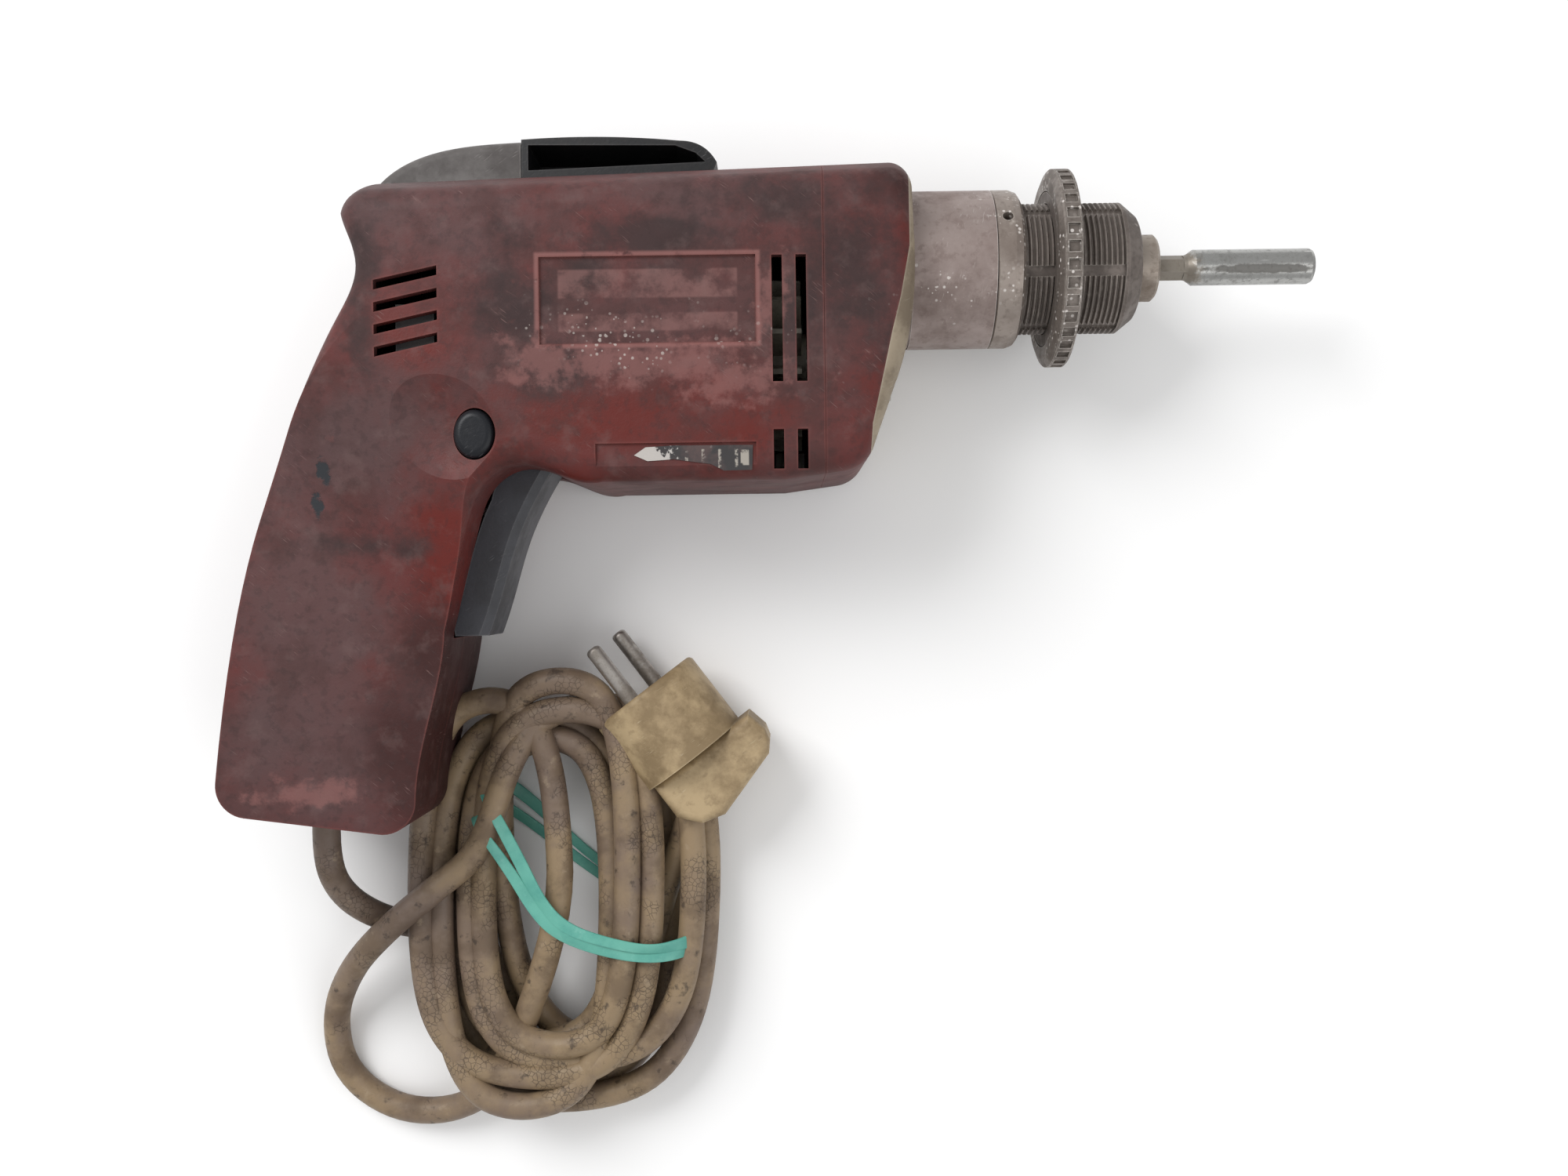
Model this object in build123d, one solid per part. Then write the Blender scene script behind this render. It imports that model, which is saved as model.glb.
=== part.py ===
"""Corded drywall screwdriver lying on its left side, with its cord in a tied hank.

Everything is drawn in the tool's own frame, in millimetres: x = 0 at the front face of the
housing and +X towards the bit, y = 0 on the spindle axis and +Y towards the top of the tool,
z = 0 on the middle plane and +Z towards its right-hand side.  to_row() then moves each piece
so that the origin is under the middle of the tool, on the surface that it lies on.
"""
from build123d import *
import math
import os

os.makedirs("parts", exist_ok=True)

# ---- housing ------------------------------------------------------------------------------
BODY_HALF = 34.0            # half width of the motor housing
GRIP_HALF = 23.5            # half width of the grip
EDGE_R = 7.0                # rounding along the housing's edges
SHOULDER_R = 8.0            # rounding between the crowned top and the sides
WALL = 3.0                  # housing wall
CROWN_TOP = 29.3            # height of the crowned top at the front, over the spindle's axis
CROWN_R = 62.8              # rounding of the crowned top across the housing
CROWN_FALL = 1.6            # fall of the crown towards the rear, in degrees
CROWN_LENGTH = 156.6        # from the front face to the rounded rear
CROWN_FRONT_R = 5.5         # rounding of the crown's front end
CROWN_REAR_R = 9.0          # rounding of the crown's rear end
CROWN_FOOT = 3.0            # height below which only the side outline shapes the housing
GRIP_START = (-105.0, -58.0)        # where the housing starts to narrow towards the grip
GRIP_SLOPE = (-0.66, -0.75)         # direction in which it narrows
GRIP_RUN = 60.0             # length over which it narrows
COVER_X = -25.0             # joint between the motor housing and the front cover
FIT = 0.3                   # clearance between pieces that only stand beside each other
RUN_FIT = 0.05              # radial clearance of a running fit

# ---- drive --------------------------------------------------------------------------------
MODULE = 1.0
PINION_TEETH = 11
GEAR_TEETH = 43
GEAR_SHIFT = 0.4            # profile shift, added to the pinion and taken from the gear
PRESSURE = math.radians(20)
MOTOR_Y = -MODULE * (PINION_TEETH + GEAR_TEETH) / 2
STATOR_R = 28.0
ARMATURE_R = 16.5
SHAFT_R = 4.0
CUP_X = -13.4               # bottom of the clutch cup in the output gear
CUP_R = 10.6                # radius of the cup at its bottom
CUP_SLOPE = 0.545           # radius gained per millimetre towards the mouth

# ---- nose ---------------------------------------------------------------------------------
COLLAR_R = 22.6
COLLAR_END = 23.8
CLAMP_RING_END = 32.2
THREAD_R = 18.7             # outside of the nose thread
THREAD_DEPTH = 0.9
PITCH = 1.5
SLEEVE_END = 66.0
RING_R = 28.3               # outside of the toothed depth ring
RING_BACK = 40.3
RING_WIDTH = 6.0
RING_TEETH = 36
SPINDLE_R = 6.0
SPINDLE_HEAD_R = 9.6
SPINDLE_HEAD_END = 72.5
PUSH = 2.4                  # travel of the spindle as the clutch closes
HEX = 6.35                  # across the flats of the bit socket
HOLDER_R = 5.15
HOLDER_START = 84.0
HOLDER_END = 118.9

# ---- cord ---------------------------------------------------------------------------------
CORD_R = 4.0
FLOOR = -BODY_HALF

ROW_SHIFT = (37.86, 61.04, BODY_HALF)

nodes = {}


def to_row(shape):
    """Move a piece from the tool's frame to the row's frame."""
    return Pos(*ROW_SHIFT) * shape


def keep(name, *solids):
    """Store one node made of one or more solids."""
    flat = []
    for solid in solids:
        flat += list(solid.solids())
    nodes[name] = flat


def cyl_x(radius, start, end, y=0.0, z=0.0):
    """Cylinder along X from start to end."""
    middle = (start + end) / 2
    return Pos(middle, y, z) * Rot(0, 90, 0) * Cylinder(radius, end - start)


def tube_x(outer, inner, start, end, y=0.0, z=0.0):
    return cyl_x(outer, start, end, y, z) - cyl_x(inner, start - 1, end + 1, y, z)


def cyl_z(radius, start, end, x, y):
    return Pos(x, y, (start + end) / 2) * Cylinder(radius, end - start)


def block(x, y, z):
    """Box between two corners, each axis given as (low, high)."""
    size = [hi - lo for lo, hi in (x, y, z)]
    centre = [(hi + lo) / 2 for lo, hi in (x, y, z)]
    return Pos(*centre) * Box(*size)


def turned(points, y=0.0):
    """Solid of revolution about the X axis, from (x, radius) points."""
    outline = make_face(Polyline(*points, close=True))
    return Pos(0, y, 0) * revolve(outline, axis=Axis.X)


def side_plate(points, low, high):
    """Straight-sided plate drawn in the XY plane."""
    return Pos(0, 0, low) * extrude(make_face(Polyline(*points, close=True)), amount=high - low)


def plate_edges(solid):
    """Edges of the two flat faces that an extrusion along Z ends in."""
    levels = [v.Z for v in solid.vertices()]
    ends = (min(levels), max(levels))
    return [e for e in solid.edges() if min(abs(e.center().Z - z) for z in ends) < 0.01]


# ---- housing form -------------------------------------------------------------------------
def side_face(inset=0.0):
    """Side outline of the housing with its grip."""
    edges = [
        Spline((-0.4, 29.2), (-54, 29.0), (-109, 27.2), (-146, 24.4)),
        Spline((-146, 24.4), (-153.0, 21.0), (-156.4, 12.9), (-154.0, 4.5), (-152.4, -3),
               (-158.0, -17.5), (-168.0, -38.5), (-181.6, -73.0), (-190.3, -111.0),
               (-195.4, -152.6)),
        Line((-195.4, -152.6), (-138.6, -160.2)),
        Spline((-138.6, -160.2), (-138.3, -140), (-133.8, -121.2), (-130.6, -103)),
        Spline((-130.6, -103), (-127.4, -90.3), (-123.4, -75), (-118.5, -63),
               (-110.5, -57.8), (-103.4, -58.2), (-95, -61.6), (-86, -62.6)),
        Line((-86, -62.6), (-36, -62.6)),
        Line((-36, -62.6), (-13.5, -59.6)),
        Spline((-13.5, -59.6), (-8.4, -44.6), (-2.4, -26.5), (0, -10), (0, 8), (-0.4, 29.2)),
    ]
    face = make_face(edges)
    for x, y, radius in ((-0.4, 29.2, 9), (-13.5, -59.6, 10), (-195.4, -152.6, 9),
                         (-138.6, -160.2, 9)):
        corner = [v for v in face.vertices() if abs(v.X - x) < 0.5 and abs(v.Y - y) < 0.5]
        face = fillet(corner, radius)
    return inner_face(face.face(), inset) if inset else face.face()


def inner_face(face, inset):
    """The same outline moved inwards, as short straight stretches; it is never seen."""
    rim = face.face().outer_wire()
    stretches = 110
    points = []
    for k in range(stretches):
        at = k / stretches
        along = rim.tangent_at(at)
        spot = rim.position_at(at)
        points.append((spot.X - along.Y * inset, spot.Y + along.X * inset))
    moved = make_face(Polyline(*points, close=True))
    if moved.area > face.area:
        points = [(2 * rim.position_at(k / stretches).X - x, 2 * rim.position_at(k / stretches).Y - y)
                  for k, (x, y) in enumerate(points)]
        moved = make_face(Polyline(*points, close=True))
    return moved.face()


def width_form(inset=0.0):
    """Full width at the motor, narrowing smoothly to the grip."""
    body = BODY_HALF - inset
    grip = GRIP_HALF - inset
    along = Vector(*GRIP_SLOPE, 0).normalized()
    plane = Plane(origin=(*GRIP_START, 0), x_dir=along, z_dir=(along.Y, -along.X, 0))
    middle = (GRIP_RUN / 2, (body + grip) / 2)
    edges = [Line((-220, body), (0, body)),
             Spline((0, body), middle, (GRIP_RUN, grip), tangents=[(1, 0), (1, 0)]),
             Line((GRIP_RUN, grip), (200, grip)),
             Line((200, grip), (200, -grip)),
             Line((200, -grip), (GRIP_RUN, -grip)),
             Spline((GRIP_RUN, -grip), (middle[0], -middle[1]), (0, -body),
                    tangents=[(-1, 0), (-1, 0)]),
             Line((0, -body), (-220, -body)),
             Line((-220, -body), (-220, body))]
    return extrude(plane * make_face(edges), amount=300, both=True)


def crown_form(inset=0.0):
    """Cross-section of the motor housing: a crowned top with rounded shoulders."""
    half = BODY_HALF - inset
    top = CROWN_TOP - inset
    radius = CROWN_R - inset
    shoulder = top - radius + math.sqrt(radius ** 2 - half ** 2)
    face = make_face([ThreePointArc((-half, shoulder), (0, top), (half, shoulder)),
                      Line((half, shoulder), (half, -260)), Line((half, -260), (-half, -260)),
                      Line((-half, -260), (-half, shoulder))])
    face = fillet([v for v in face.vertices() if v.Y > -100], SHOULDER_R - inset)
    fall = math.radians(CROWN_FALL)
    plane = Plane(origin=(-inset, 0, 0), x_dir=(0, 0, 1),
                  z_dir=(-math.cos(fall), -math.sin(fall), 0))
    crown = extrude(plane * face.face(), amount=CROWN_LENGTH - 2 * inset)
    ends = [e for e in crown.edges() if e.center().Y > -200 and abs(e.tangent_at(0.5).X) < 0.5]
    rear = [e for e in ends if e.center().X < 20 - CROWN_LENGTH]
    crown = fillet(rear, max(CROWN_REAR_R - inset, 1.0))
    front = [e for e in crown.edges() if e.center().Y > -200 and e.center().X > -20
             and abs(e.tangent_at(0.5).X) < 0.5]
    crown = fillet(front, max(CROWN_FRONT_R - inset, 1.0))
    below = Pos(-110, CROWN_FOOT - 150, 0) * Box(240, 300, 2 * half)
    return crown + below


def housing_form(inset=0.0):
    slab = extrude(side_face(inset), amount=BODY_HALF - inset, both=True)
    if not inset:
        slab = fillet(plate_edges(slab), EDGE_R)
    return slab & width_form(inset) & crown_form(inset)


def vent_cuts():
    """Slots through both side walls: slanted at the rear, upright at the front."""
    cuts = []
    for level in range(4):
        left, right = -146.0, -128.9
        y_left = -9.3 - 6.0 * level
        y_right = -5.6 - 6.0 * level
        points = [(left, y_left - 1.3), (right, y_right - 1.3), (right, y_right + 1.3),
                  (left, y_left + 1.3)]
        cuts.append(side_plate(points, -60, 60))
    for left, right in ((-39.0, -36.2), (-32.5, -29.7)):
        cuts.append(block((left, right), (-36.7, -2.7), (-60, 60)))
        cuts.append(block((left, right), (-60.0, -49.5), (-60, 60)))
    return cuts


def plate_recesses(sign):
    """Shallow recesses for the name field and for the rating label, on one side."""
    outer = sign * BODY_HALF
    deep = outer - sign * 0.8
    levels = sorted((deep, outer + sign * 5))
    name_field = block((-101.5, -43.3), (-26.0, -2.5), levels)
    label_field = block((-86.9, -43.7), (-61.0, -52.8), levels)
    return name_field, label_field


SIDE_SCREWS = ((-145.0, 8.0), (-60.0, 10.5), (-49.0, -55.0), (-178.5, -92.0),
               (-186.5, -143.0))
BUTTON_AT = (-119.7, -49.5)
BUTTON_SIZE = (5.6, 6.6)            # half widths along X and Y
TRIGGER_PIVOT = (-109.0, -54.5)
DISH_R = 43.5
COVER_SCREWS = ((15.5, 25.5), (-38.5, 26.0))       # (y, z), mirrored to both sides
CORD_EXIT = (-171.8, -157.6)


def dish_ball(radius):
    """Ball that hollows the thumb dish round the lock button, on the right-hand side."""
    return Pos(-130.5, -50.5, BODY_HALF + 40.0) * Sphere(radius)


def button_prism(grow, low, high):
    """Oval prism of the lock button, grown by a clearance."""
    oval = Ellipse(BUTTON_SIZE[0] + grow, BUTTON_SIZE[1] + grow)
    return Pos(*BUTTON_AT, low) * extrude(oval, amount=high - low)


def shell_blank():
    outside = housing_form()
    blank = outside - housing_form(WALL)
    return blank + (outside & dish_ball(DISH_R + WALL)) - dish_ball(DISH_R)


def screw_boss(x, y, low, high):
    return cyl_z(3.6, low, high, x, y) - cyl_z(1.6, low - 1, high + 1, x, y)


def build_housing():
    blank = shell_blank()
    for cut in vent_cuts():
        blank = blank - cut
    for sign in (1, -1):
        for recess in plate_recesses(sign):
            blank = blank - recess
    blank = blank - button_prism(0.4, 0, 60)
    trigger_mouth = side_plate([(-137.6, -105.1), (-120, -105.1), (-98, -54.6), (-118, -50)],
                               -12.6, 12.6)
    blank = blank - trigger_mouth - cyl_z(1.52, -14.6, 14.6, *TRIGGER_PIVOT)
    blank = blank - Pos(*CORD_EXIT, 0) * Rot(90, 0, 0) * Cylinder(6.0, 24)
    rear = blank & block((-260, COVER_X), (-220, 100), (-60, 60))
    right = rear & block((-260, 60), (-220, 100), (0, 60))
    left = rear & block((-260, 60), (-220, 100), (-60, 0))
    for x, y in SIDE_SCREWS:
        half = BODY_HALF - WALL if x > -150 else GRIP_HALF - WALL
        right = right + screw_boss(x, y, 0.0, half)
        left = left - cyl_z(3.3, -60, -half, x, y)
        left = left + screw_boss(x, y, -half, 0.0)
    keep("right_shell", right)
    keep("left_shell", left)

    front = blank & block((COVER_X + 0.1, 60), (-220, 100), (-60, 60))
    collar_hole = cyl_x(COLLAR_R + FIT, -30, 30)
    parting = [(-1.6, 60), (-1.6, 0), (-4.3, -14), (-6.7, -23.3), (-9.0, -33.8), (-12.2, -48),
               (-14, -80), (60, -80), (60, 60)]
    nose_side = side_plate(parting, -60, 60)
    cover = front - nose_side - collar_hole
    plate = (front & nose_side) - collar_hole
    for y, z in COVER_SCREWS:
        for side in (z, -z):
            well = cyl_x(3.2, -9, 10, y, side) + cyl_x(1.7, -30, 0, y, side)
            cover = cover - well
            plate = plate - well
    keep("gear_cover", max(cover.solids(), key=lambda s: s.volume))
    keep("front_plate", max(plate.solids(), key=lambda s: s.volume))


def pan_head_screw(length, head_r=2.9, shank_r=1.55):
    """Cross-slotted screw, head up at z = 0, shank down."""
    head = Pos(0, 0, -1.0) * Cylinder(head_r, 2.0)
    shank = Pos(0, 0, -2.0 - length / 2) * Cylinder(shank_r, length)
    cross = Box(3.4, 0.8, 2.2) + Box(0.8, 3.4, 2.2)
    return head + shank - cross


def build_fasteners():
    screws = []
    for x, y in SIDE_SCREWS:
        half = BODY_HALF - WALL if x > -150 else GRIP_HALF - WALL
        screws.append(Pos(x, y, -half - 2.05) * Rot(180, 0, 0) * pan_head_screw(half + 6))
    keep("housing_screws", *screws)
    screws = []
    for y, z in COVER_SCREWS:
        for side in (z, -z):
            screws.append(Pos(-6.9, y, side) * Rot(0, 90, 0) * pan_head_screw(14.5, 2.8))
    keep("cover_screws", *screws)


# ---- hook on top of the housing -----------------------------------------------------------
def build_hook():
    """Rear cap and front pocket of the belt hook that sits along the top."""
    cap = make_face([
        Spline((-152.3, 22.9), (-146.5, 28.3), (-132, 34.1), (-109.9, 36.2)),
        Line((-109.9, 36.2), (-109.9, 22.0)),
        Line((-109.9, 22.0), (-145, 20.0)),
        Line((-145, 20.0), (-152.3, 22.9))])
    base = extrude(cap, amount=12.5, both=True)
    base = fillet([e for e in plate_edges(base) if e.center().Y > 27.5
                   and abs(e.center().X + 109.9) > 1], 3.0)
    keep("hook_cap", base - housing_form())
    arm = make_face([
        Spline((-109.7, 36.2), (-88, 36.7), (-64.6, 35.3)),
        Spline((-64.6, 35.3), (-58, 33.4), (-54.2, 29.05)),
        Line((-54.2, 29.05), (-56, 24.5)),
        Line((-56, 24.5), (-109.7, 22.0)),
        Line((-109.7, 22.0), (-109.7, 36.2))])
    pocket = extrude(arm, amount=12.5, both=True) - housing_form()
    hollow = make_face(Polyline((-107.8, 34.6), (-66, 34.0), (-60.2, 31.8), (-57.4, 29.2),
                                (-80, 28.4), (-107.8, 27.4), close=True))
    pocket = pocket - Pos(0, 0, -8.0) * extrude(hollow, amount=40)
    boss = cyl_z(1.8, -8.2, -5.5, -82, 31.4)
    keep("hook_pocket", pocket + boss)


# ---- handle contents ----------------------------------------------------------------------


def build_trigger():
    edges = [
        Spline((-102.6, -57.4), (-107.6, -66), (-112.2, -76), (-116.6, -90), (-121.4, -104.6)),
        Line((-121.4, -104.6), (-130.4, -104.6)),
        Line((-130.4, -104.6), (-131.0, -101.2)),
        Spline((-131.0, -101.2), (-127.0, -88), (-122.6, -73), (-119.6, -66)),
        Spline((-119.6, -66), (-116, -59), (-111.5, -56.2)),
        Line((-111.5, -56.2), (-102.6, -57.4))]
    lever = extrude(make_face(edges), amount=12.0, both=True)
    front_edges = [e for e in plate_edges(lever)
                   if e.center().X > -121 and abs(e.center().Y + 82) < 8 and e.length > 30]
    front_edges = sorted(front_edges, key=lambda e: e.center().X)[-2:]
    lever = chamfer(front_edges, 2.2)
    ears = side_plate([(-113.5, -51.8), (-105.0, -51.8), (-105.0, -58.6), (-113.5, -58.6)],
                      -8.0, 8.0)
    gap = block((-115, -104), (-58.4, -50), (-4.0, 4.0))
    rib = side_plate([(-128.4, -92), (-124.5, -92), (-122.5, -84.5), (-126.4, -84.5)], -3, 3)
    lever = lever + (ears - gap) + rib
    lever = lever - cyl_z(1.5 + RUN_FIT, -20, 20, *TRIGGER_PIVOT)
    keep("trigger", lever)
    keep("trigger_pin", cyl_z(1.5, -14.5, 14.5, *TRIGGER_PIVOT))
    spring = Pos(-132.7, -93.5, 0) * Rot(0, 90, 0) * (Cylinder(3.0, 5.0) - Cylinder(2.2, 6.0))
    keep("trigger_spring", spring)


def build_switch():
    body = side_plate([(-137.2, -96.5), (-131.0, -72.0), (-150.0, -66.5), (-158.0, -90.0)],
                      -9.5, 9.5)
    terminals = [block((-157.5, -154.5), (-86, -83), (z - 1, z + 1)) for z in (-5, 0, 5)]
    keep("switch_body", body, *[t - body for t in terminals])
    keep("capacitor", cyl_z(7.0, -10.0, 10.0, -174.0, -110.0))
    x, y = BUTTON_AT
    flange_top = 27.3
    flange_low = flange_top - 1.2
    seat_top = flange_low - 7.8
    cap = button_prism(0, flange_top, BODY_HALF)
    rim = [e for e in plate_edges(cap) if e.center().Z > BODY_HALF - 1]
    cap = fillet(rim, 2.2) + button_prism(1.4, flange_low, flange_top)
    keep("lock_button", cap + cyl_z(2.0, flange_low - 5.0, flange_low, x, y))
    keep("lock_spring", cyl_z(4.2, seat_top, flange_low, x, y) - cyl_z(3.4, 10, 30, x, y))
    keep("lock_seat", cyl_z(7.0, seat_top - 4, seat_top, x, y) - cyl_z(2.4, 10, 30, x, y))


def build_cord_entry():
    x, y = CORD_EXIT
    turn = Rot(90, 0, 0)
    sleeve = Pos(x, y + 9.0, 0) * turn * (Cylinder(5.9, 18) + Pos(0, 0, 0.4) * Cylinder(8.5, 2.5))
    keep("cord_sleeve", sleeve - Pos(x, y, 0) * turn * Cylinder(CORD_R + 0.02, 60))
    bridge = block((x - 12, x + 12), (y + 22, y + 30), (CORD_R + 0.1, CORD_R + 5.0))
    screws = [cyl_z(1.5, -7.0, CORD_R + 5.2, x + side, y + 26)
              + cyl_z(2.6, CORD_R + 5.0, CORD_R + 6.6, x + side, y + 26) for side in (-9, 9)]
    for screw in screws:
        bridge = bridge - screw
    keep("cord_clamp", bridge)
    keep("clamp_screws", *screws)


# ---- motor --------------------------------------------------------------------------------
def build_stator():
    ring = tube_x(STATOR_R, ARMATURE_R + 0.7, -102, -60, MOTOR_Y)
    for sign in (1, -1):
        ring = ring - block((-110, -50), (MOTOR_Y - 9.0, MOTOR_Y + 9.0),
                            sorted((sign * 16.0, sign * 23.0)))
    keep("field_core", ring)
    coils = []
    for sign in (1, -1):
        coil = block((-108, -54), (MOTOR_Y - 8.6, MOTOR_Y + 8.6),
                     sorted((sign * 18.6, sign * 22.8)))
        coils.append(coil - block((-101, -61), (MOTOR_Y - 30, MOTOR_Y + 30),
                                  sorted((sign * 10.0, sign * 18.6))))
    keep("field_coils", *coils)


def build_armature():
    shaft = cyl_x(SHAFT_R, -141.5, -19.5, MOTOR_Y)
    pinion = gear_blank(PINION_TEETH, GEAR_SHIFT, math.pi / 2, -20.0, -11.5)
    keep("armature_shaft", shaft + Pos(0, MOTOR_Y, 0) * pinion)
    core = tube_x(ARMATURE_R, SHAFT_R, -101.5, -60.5, MOTOR_Y)
    for k in range(12):
        slot = block((-110, -50), (ARMATURE_R - 3.2, ARMATURE_R + 2), (-1.0, 1.0))
        core = core - Pos(0, MOTOR_Y, 0) * Rot(30 * k, 0, 0) * slot
    keep("armature_core", core)
    winding_rear = turned([(-110, 5.5), (-101.6, 5.5), (-101.6, 14.5), (-108, 12.5)], MOTOR_Y)
    winding_front = turned([(-60.4, 5.5), (-52.5, 5.5), (-54, 12.5), (-60.4, 14.5)], MOTOR_Y)
    keep("armature_winding", winding_rear, winding_front)
    bars = tube_x(11.0, SHAFT_R, -128, -112, MOTOR_Y)
    for k in range(24):
        bars = bars - Pos(0, MOTOR_Y, 0) * Rot(15 * k, 0, 0) * block((-130, -113.5), (10, 12),
                                                                      (-0.3, 0.3))
    keep("commutator", bars)
    fan = tube_x(9.0, SHAFT_R, -43.0, -29.5, MOTOR_Y) + tube_x(25.5, 8, -43, -41.5, MOTOR_Y)
    for k in range(14):
        blade = Rot(360 / 14 * k, 0, 0) * block((-41.6, -31.0), (8.5, 25.0), (-0.7, 0.7))
        fan = fan + Pos(0, MOTOR_Y, 0) * blade
    keep("cooling_fan", fan)


def ball_bearing(centre, bore, outside, width, y):
    """Inner ring, outer ring and balls of one deep-groove bearing, as three lists."""
    pitch_r = (bore + outside) / 2
    ball_r = (outside - bore) * 0.27
    low, high = centre - width / 2, centre + width / 2
    groove = Pos(centre, y, 0) * Rot(0, 90, 0) * Torus(pitch_r, ball_r + 0.06)
    step = (outside - bore) * 0.3
    inner = tube_x(bore + step, bore, low, high, y) - groove
    outer = tube_x(outside, outside - step, low, high, y) - groove
    count = 8
    balls = []
    for k in range(count):
        angle = 2 * math.pi * k / count
        balls.append(Pos(centre, y + pitch_r * math.cos(angle), pitch_r * math.sin(angle))
                     * Sphere(ball_r))
    return inner, outer, balls


def build_bearings():
    rear = ball_bearing(-136.0, SHAFT_R, 9.5, 6.0, MOTOR_Y)
    front = ball_bearing(-24.4, SHAFT_R, 11.0, 6.0, MOTOR_Y)
    keep("armature_bearing_inners", rear[0], front[0])
    keep("armature_bearing_outers", rear[1], front[1])
    keep("armature_bearing_balls", *rear[2], *front[2])
    nose = ball_bearing(8.0, SPINDLE_R + 0.03, 14.0, 8.0, 0.0)
    keep("spindle_bearing_inner", nose[0])
    keep("spindle_bearing_outer", nose[1])
    keep("spindle_bearing_balls", *nose[2])
    holder = block((-141, -130.6), (MOTOR_Y - 13, MOTOR_Y + 13), (-30.6, 30.6))
    holder = holder - cyl_x(9.5, -139.1, -130, MOTOR_Y) - cyl_x(6.5, -150, -130, MOTOR_Y)
    for window in ((-28, -14), (14, 28)):
        holder = holder - block((-142, -130), (MOTOR_Y - 8, MOTOR_Y + 8), window)
    holder = (holder & housing_form(WALL + 0.2)) - dish_ball(DISH_R + WALL + FIT)
    keep("rear_bearing_holder", holder)


def build_brushes():
    brushes, holders, springs = [], [], []
    for sign in (1, -1):
        brush = block((-123.5, -116.5), (MOTOR_Y - 3, MOTOR_Y + 3),
                      sorted((sign * 11.2, sign * 22.0)))
        brushes.append(brush)
        outer = block((-125, -115), (MOTOR_Y - 4.5, MOTOR_Y + 4.5),
                      sorted((sign * 13.0, sign * 28.0)))
        inner = block((-123.6, -116.4), (MOTOR_Y - 3.1, MOTOR_Y + 3.1),
                      sorted((sign * 10.0, sign * 27.0)))
        holders.append(outer - inner)
        spring = cyl_z(2.4, 0, 4.8, -120, MOTOR_Y) - cyl_z(1.7, -1, 6, -120, MOTOR_Y)
        springs.append(Pos(0, 0, 22.1 if sign > 0 else -26.9) * spring)
    keep("carbon_brushes", *brushes)
    keep("brush_holders", *holders)
    keep("brush_springs", *springs)


# ---- gears and clutch ---------------------------------------------------------------------
def gear_outline(teeth, shift, first_angle):
    """Involute outline in the plane (y, z); a tooth points at first_angle."""
    pitch_r = MODULE * teeth / 2
    base_r = pitch_r * math.cos(PRESSURE)
    tip_r = pitch_r + (0.9 + shift) * MODULE
    root_r = pitch_r - (1.2 - shift) * MODULE
    backlash = 0.07
    thickness = MODULE * (math.pi / 2 + 2 * shift * math.tan(PRESSURE)) - backlash
    inv_pressure = math.tan(PRESSURE) - PRESSURE
    half_base = thickness / (2 * pitch_r) + inv_pressure
    start_r = max(base_r, root_r)
    flank = []
    steps = 5
    for k in range(steps + 1):
        r = start_r + (tip_r - start_r) * k / steps
        roll = math.sqrt(max((r / base_r) ** 2 - 1, 0.0))
        flank.append((r, half_base - (roll - math.atan(roll))))
    if root_r < base_r:
        flank.insert(0, (root_r, flank[0][1]))
    points = []
    for tooth in range(teeth):
        centre = first_angle + 2 * math.pi * tooth / teeth
        for r, half in flank:
            points.append((r * math.cos(centre - half), r * math.sin(centre - half)))
        for r, half in reversed(flank):
            points.append((r * math.cos(centre + half), r * math.sin(centre + half)))
    return points


def gear_blank(teeth, shift, first_angle, start, end):
    """Toothed wheel about the X axis."""
    plane = Plane(origin=(start, 0, 0), x_dir=(0, 0, 1), z_dir=(1, 0, 0))
    outline = make_face(Polyline(*gear_outline(teeth, shift, first_angle), close=True))
    return extrude(plane * outline, amount=end - start)


def build_gear():
    # A space between two teeth faces the pinion, which has a tooth pointing straight up.
    space_at_pinion = -math.pi / 2 + math.pi / GEAR_TEETH
    wheel = gear_blank(GEAR_TEETH, -GEAR_SHIFT, space_at_pinion, -20.0, -12.0)
    wheel = wheel + cyl_x(16.0, -12.5, -10.2)
    cup_end = -9.0
    cone = turned([(CUP_X, 0), (CUP_X, CUP_R), (cup_end, CUP_R + CUP_SLOPE * (cup_end - CUP_X)),
                   (cup_end, 0)])
    wheel = wheel - cone - cyl_x(7.0, -30, 0)
    keep("output_gear", wheel)
    keep("gear_bush", tube_x(7.0, 5.0 + RUN_FIT, -20.0, CUP_X))


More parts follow.
